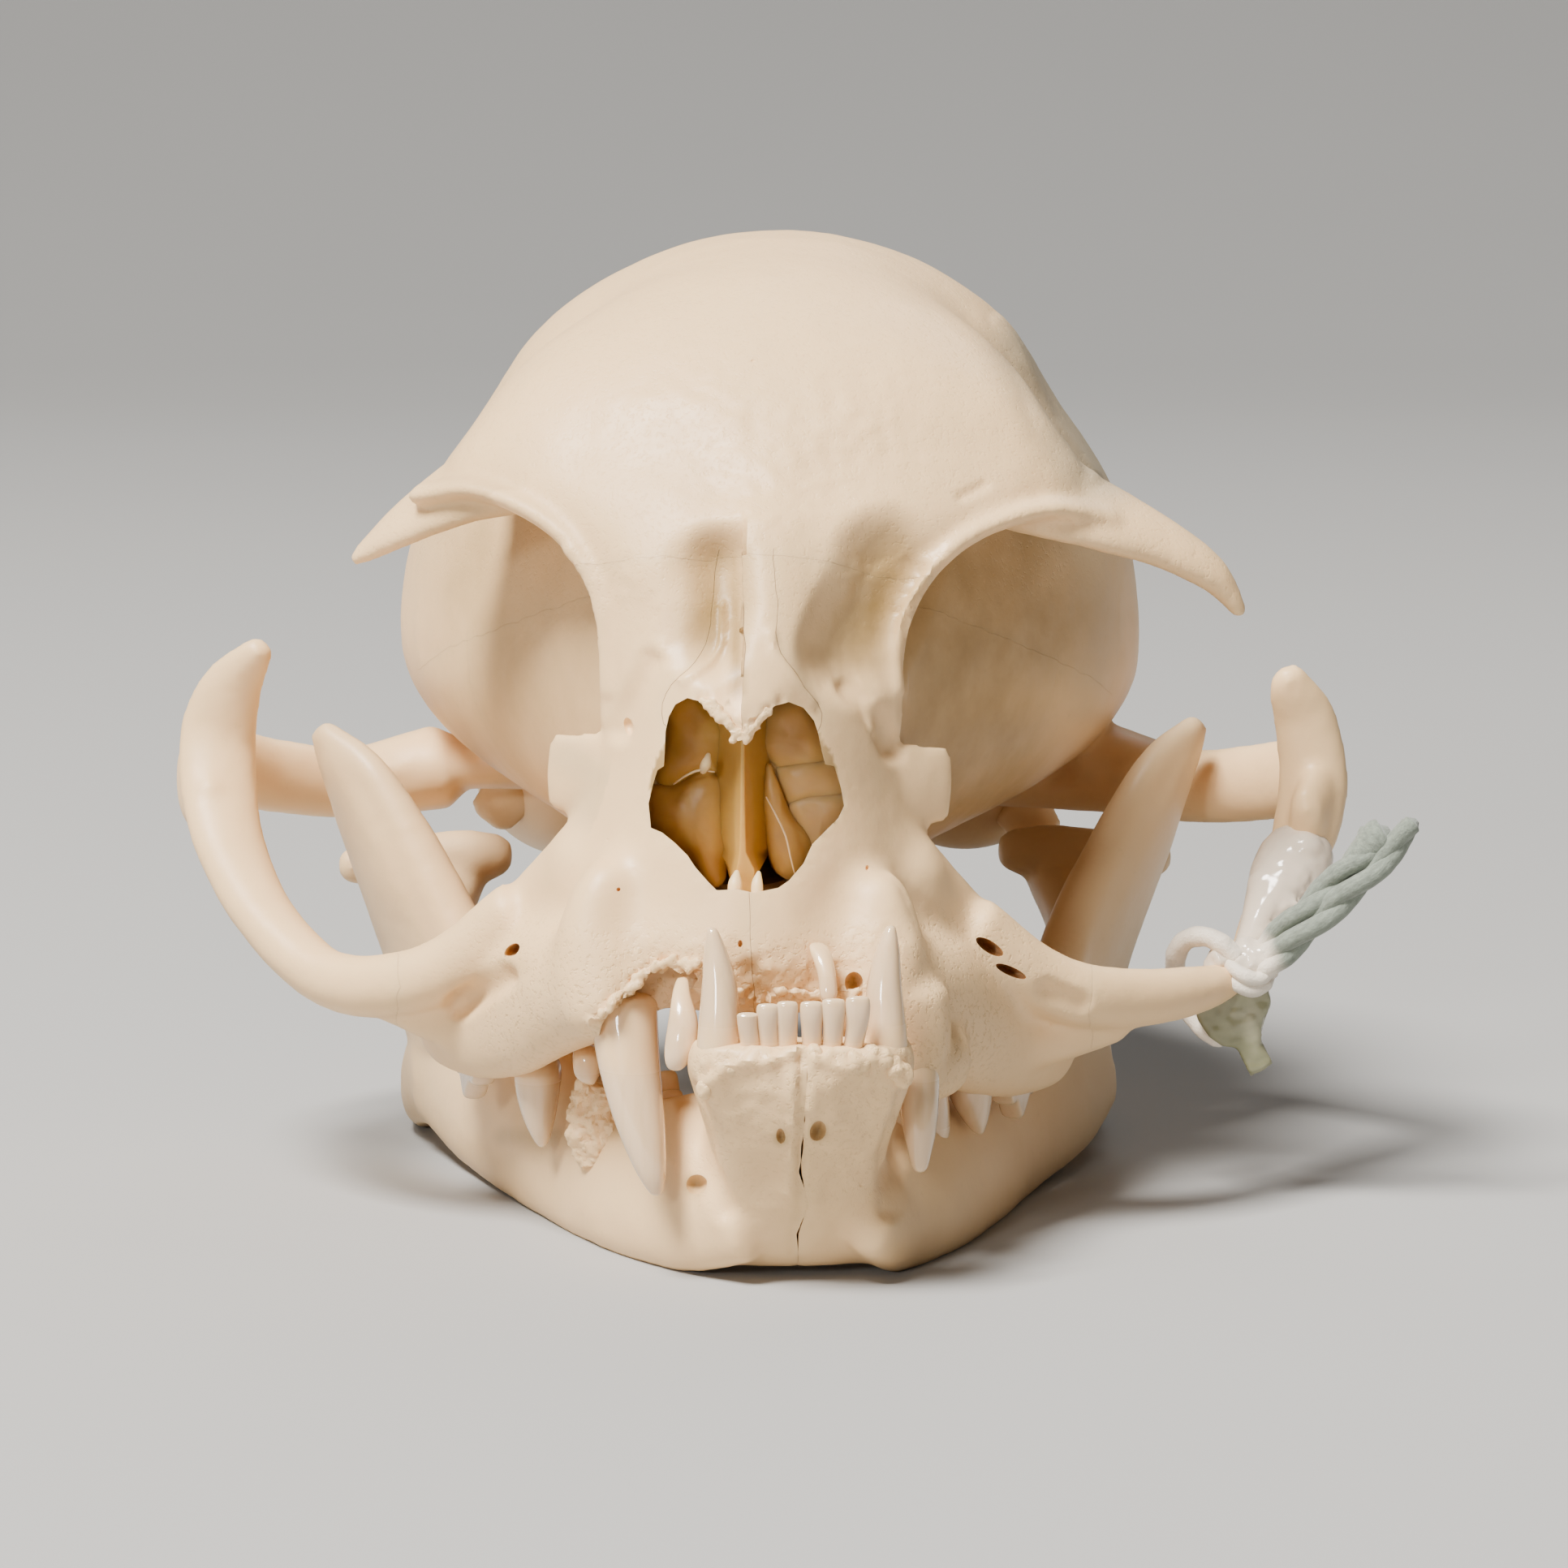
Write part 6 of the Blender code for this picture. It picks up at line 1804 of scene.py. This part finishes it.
def jaw_forms(side):
    """The forms of one half of the lower jaw."""
    chin = [[(x * side, y, z) for x, y, z in chin_ring(*row)] for row in dense(CHIN, 4)]
    out, down = JAW_SHIFT[side]
    middle = [(x + out, y, z + down, *size) for x, y, z, *size in JAW_BODY[1:-2]]
    return [
        stack("chin", chin),
        bar([JAW_BODY[0], *middle, *JAW_BODY[-2:]], JAW_LEAN[side], side),
        bar(RAMUS, (0.42, 1, 0), side),
        bar(RAMUS_FRONT, (1, 0, 0), side),
        bar(CONDYLE_NECK, (0.2, 1, 0), side),
        bar(CONDYLE, (0, 1, 0), side),
        bar(ANGULAR_PROCESS, (0, 0, 1), side),
    ]


def slab(name, corners, low, high):
    """An upright block on a flat outline."""
    return stack(name, [[(x, y, z) for x, y in corners] for z in (low, high)])


class SKULL_OT_jaw(bpy.types.Operator):
    """The two halves of the lower jaw, with the open line of the chin between them"""
    bl_idname = "skull.jaw"
    bl_label = "Lower Jaw"

    def execute(self, context):
        sizes, finishes = context.scene.skull_sizes, context.scene.skull_finishes
        coarse = 1.0
        for side, word in SIDES:
            half = melt("half", jaw_forms(side), sizes.bone_grain * coarse * 0.9, JAW_SPREAD)
            gap = 0.5 * sizes.suture / MM * SNOUT_SEAM
            far, front, back = MIDLINE_BLOCK
            corners = [(x * side, y) for x, y in ((far, front), (gap, front), (gap, back), (far, back))]
            carve(half, slab("midline", corners, *MIDLINE_HEIGHTS), solver="EXACT")
            carve(half, slab("table", TABLE_CORNERS, *TABLE_HEIGHTS), solver="EXACT")
            half = keep_largest(half, "mandible_" + word + "_bone")
            seat_jaw(half)
            points = points_of(half)
            near = 1 - smooth_share(np.abs(points[:, 0] - JAW_PIVOT[0]), *CHIN_LINE_REACH)
            wander = np.interp(points[:, 2], *zip(*CHIN_LINE))
            points[:, 0] += near * wander * (1 - smooth_share(points[:, 1], *CHIN_LINE_DEPTH))
            put_points(half, points)
            weather(half)
            draw(half, JAW_MARKS)
            roughen(half, JAW_ROUGHNESS)
            for spec in JAW_HOLES:
                if self.here(half, spec[0]):
                    carve(half, hole(half, *spec))
            paint_jaw_stain_and_shade(half)
            finished(half, bone_material(finishes), ["mandible_" + word])
        return {"FINISHED"}

    def here(self, half, pixel):
        """Whether this half of the jaw shows at a pixel."""
        across, down, _ = picture_of(points_of(half))
        return (np.hypot(across - pixel[0], down - pixel[1]) < NEARBY_PIXELS).any()


def paint_jaw_stain_and_shade(piece):
    """Where the lower jaw is stained, grey or porous, and where shade is painted into it."""
    points = points_of(piece)
    y, z = points[:, 1], points[:, 2]
    # Stain, darker tan round the foramina, and painted shade between the upper cheek teeth and the jaw
    set_share(piece, "stain_and_shade", painted(piece, JAW_STAINS_AND_SHADE))
    set_share(piece, "grey_and_shade", JAW_GREY * smooth_share(y, *JAW_GREY_DEPTH))
    chin = (1 - smooth_share(y, *PORES_DEPTH)) * smooth_share(z, *PORES_HEIGHT)
    set_share(piece, "pores", CHIN_PORES * chin)


# The mended cheekbone

def strand(stations, radius, yarns, twist):
    """Yarns twisted round a smooth line through places in the picture, mapped along their length."""
    line = [(*seen_at((u, v), y), size) for u, v, y, size in stations]
    line = [(Vector(p[:3]), p[3]) for p in dense(line, 14)]
    bars, turn = [], 0.0
    for k in range(yarns):
        turn, rows = math.tau * k / yarns, []
        side = Vector(YARN_SIDE)
        for i, (centre, size) in enumerate(line):
            ahead = (line[min(i + 1, len(line) - 1)][0] - line[max(i - 1, 0)][0]).normalized()
            side = (side - ahead * side.dot(ahead)).normalized()
            turn += (centre - line[max(i - 1, 0)][0]).length * twist
            offset = max(0.0, size - radius) if yarns > 1 else 0.0
            way = side * math.cos(turn) + ahead.cross(side) * math.sin(turn)
            fat = (size if yarns == 1 else radius) * (1 + 0.07 * noise.noise(centre * 1.7 + Vector((k, 0, 0))))
            fat *= min(1.0, 0.62 + 0.12 * min(i, len(line) - 1 - i))
            rows.append((*(centre + way * offset), fat, fat))
        bars.append(yarn_bar(rows))
    return bars


def yarn_bar(rows, sides=14):
    """One yarn as a bar with a map that runs along and round it."""
    piece = bar(rows, YARN_SIDE, sides=sides, steps=1)
    along = piece.data.uv_layers.new(name="yarn")
    for face in piece.data.polygons:
        rings = [piece.data.loops[i].vertex_index // sides for i in face.loop_indices]
        round_it = [piece.data.loops[i].vertex_index % sides for i in face.loop_indices]
        wraps = max(round_it) - min(round_it) > 1
        for i, ring, place in zip(face.loop_indices, rings, round_it):
            turn = place + sides if wraps and place == 0 else place
            along.data[i].uv = (YARN_MAP_STEP * ring, turn / sides)
    return piece


def drops(name, places, forms=()):
    """Drops of glue at places in the picture, melted together."""
    lumps = [ball(seen_at(pixel, y), (size, size, size), segments=24) for pixel, y, size in places]
    return melt(name, [*forms, *lumps], *DROP_MELT)


class SKULL_OT_repair(bpy.types.Operator):
    """Clear glue on the broken arch, and the string that was tied round it"""
    bl_idname = "skull.repair"
    bl_label = "Glue and String"

    def execute(self, context):
        sizes, finishes = context.scene.skull_sizes, context.scene.skull_finishes
        yarn = sizes.yarn / MM
        sleeve = bar([(*seen_at((u, v), y), a, b) for u, v, y, a, b in GLUE], (1, 0, 0.3))
        bead = drops("glue_repair_bead", GLUE_DROPS, [sleeve])
        roughen(bead, GLUE_RIPPLES)
        clear = glue_material(finishes, "clear_glue", finishes.glue)
        finished(bead, clear, ["glue_repair"], 180)
        film = stack("film", [[seen_at(pixel, y) for pixel in GLUE_FILM] for y in GLUE_FILM_DEPTHS])
        film = melt("glue_film", [film], *FILM_MELT)
        roughen(film, FILM_RIPPLES)
        # The film's dark olive is painted shade, standing in for the dark seen through the clear glue
        finished(film, glue_material(finishes, "glue_film_painted_dark", finishes.glue_film), (), 180)
        parts = []
        for tail in (STRING_TAIL_LOWER, STRING_TAIL_UPPER):
            parts += strand(tail, yarn, 2, TAIL_TWIST)
        for turn in (STRING_BLOB, STRING_LOOP, *KNOT_WRAPS):
            parts += strand(turn, yarn, 1, 0.0)
        string = joined("string_tie_yarn", parts)
        points = points_of(string)
        pixel, depth = KNOT
        near = np.linalg.norm(points - np.array(seen_at(pixel, depth)), axis=1)
        on_loop = points[:, 0] < seen_at(*LOOP_START)[0]
        white = np.maximum(KNOT_GLUE - smooth_share(near, *GLUED_REACH), on_loop * LOOP_GLUE)
        set_share(string, "glued", white)
        finished(string, string_material(finishes), ["string_tie"], 180)
        lump = drops("knot_glue", KNOT_DROPS)
        roughen(lump, KNOT_RIPPLES)
        finished(lump, glue_material(finishes, "clear_glue", finishes.glue), (), 180)
        return {"FINISHED"}


# The stage

class SKULL_OT_stage(bpy.types.Operator):
    """The camera, a pale floor that sweeps up behind, and soft studio lights"""
    bl_idname = "skull.stage"
    bl_label = "Stage"

    def execute(self, context):
        shift = Vector(FRAME_SHIFT)
        target = (Vector(CAMERA_TARGET) + shift) * MM
        ahead, _ = view_ways()
        camera = bpy.data.objects.new("camera", bpy.data.cameras.new("camera"))
        context.scene.collection.objects.link(camera)
        camera.location = target - Vector(ahead) * CAMERA_DISTANCE * MM
        camera.rotation_euler = (math.radians(90 - CAMERA_ELEVATION), 0.0, 0.0)
        camera.data.lens = LENS
        camera.data.sensor_width = SENSOR
        camera.data.clip_start, camera.data.clip_end = 0.01, 20.0
        context.scene.camera = camera
        self.floor(context.scene.skull_finishes)
        for name, place, power, size, colour in LIGHTS:
            data = bpy.data.lights.new(name, "AREA")
            data.energy, data.size, data.color = power, size, colour
            light = bpy.data.objects.new(name, data)
            context.scene.collection.objects.link(light)
            light.location = place
            light.rotation_euler = (target - Vector(place)).to_track_quat("-Z", "Y").to_euler()
        world = context.scene.world or bpy.data.worlds.new("studio")
        context.scene.world = world
        world.use_nodes = True
        world.node_tree.nodes["Background"].inputs["Color"].default_value = (*WORLD_COLOUR, 1.0)
        world.node_tree.nodes["Background"].inputs["Strength"].default_value = WORLD_STRENGTH
        return {"FINISHED"}

    def floor(self, finishes):
        bpy.ops.mesh.primitive_plane_add(size=FLOOR_SIZE)
        floor = bpy.context.object
        floor.name = "floor"
        bpy.ops.object.mode_set(mode="EDIT")
        bpy.ops.mesh.subdivide(number_cuts=47)
        bpy.ops.object.mode_set(mode="OBJECT")
        points = points_of(floor) * MM
        rise = np.clip((points[:, 1] - SWEEP_START) / SWEEP_RADIUS, 0, None)
        points[:, 2] = SWEEP_RADIUS * 0.5 * rise ** 2
        put_points(floor, points / MM)
        bpy.ops.object.shade_smooth()
        floor.data.materials.append(floor_material(finishes))


class SKULL_PT_sidebar(bpy.types.Panel):
    """Lists the skull's sizes, colours and making steps"""
    bl_idname = "SKULL_PT_sidebar"
    bl_label = "Cat Skull"
    bl_space_type = "VIEW_3D"
    bl_region_type = "UI"
    bl_category = "Skull"

    def draw(self, context):
        for group in (context.scene.skull_sizes, context.scene.skull_finishes):
            for key in group.bl_rna.properties.keys():
                if key not in ("rna_type", "name"):
                    self.layout.prop(group, key)
        for step in STEPS:
            self.layout.operator(step.bl_idname)


STEPS = (
    SKULL_OT_stage, SKULL_OT_cranium, SKULL_OT_nasal_cavity, SKULL_OT_jaw, SKULL_OT_rough_edges,
    SKULL_OT_canines, SKULL_OT_incisors, SKULL_OT_cheek_teeth, SKULL_OT_repair,
)
CLASSES = (SkullSizes, SkullFinishes, *STEPS, SKULL_PT_sidebar)


def register():
    for one in CLASSES:
        bpy.utils.register_class(one)
    bpy.types.Scene.skull_sizes = PointerProperty(type=SkullSizes)
    bpy.types.Scene.skull_finishes = PointerProperty(type=SkullFinishes)


def unregister():
    del bpy.types.Scene.skull_finishes
    del bpy.types.Scene.skull_sizes
    for one in reversed(CLASSES):
        bpy.utils.unregister_class(one)


def main():
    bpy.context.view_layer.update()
    register()
    bpy.ops.skull.stage()
    bpy.ops.skull.cranium()
    bpy.ops.skull.nasal_cavity()
    bpy.ops.skull.jaw()
    bpy.ops.skull.rough_edges()
    bpy.ops.skull.canines()
    bpy.ops.skull.incisors()
    bpy.ops.skull.cheek_teeth()
    bpy.ops.skull.repair()


if __name__ == "__main__":
    main()
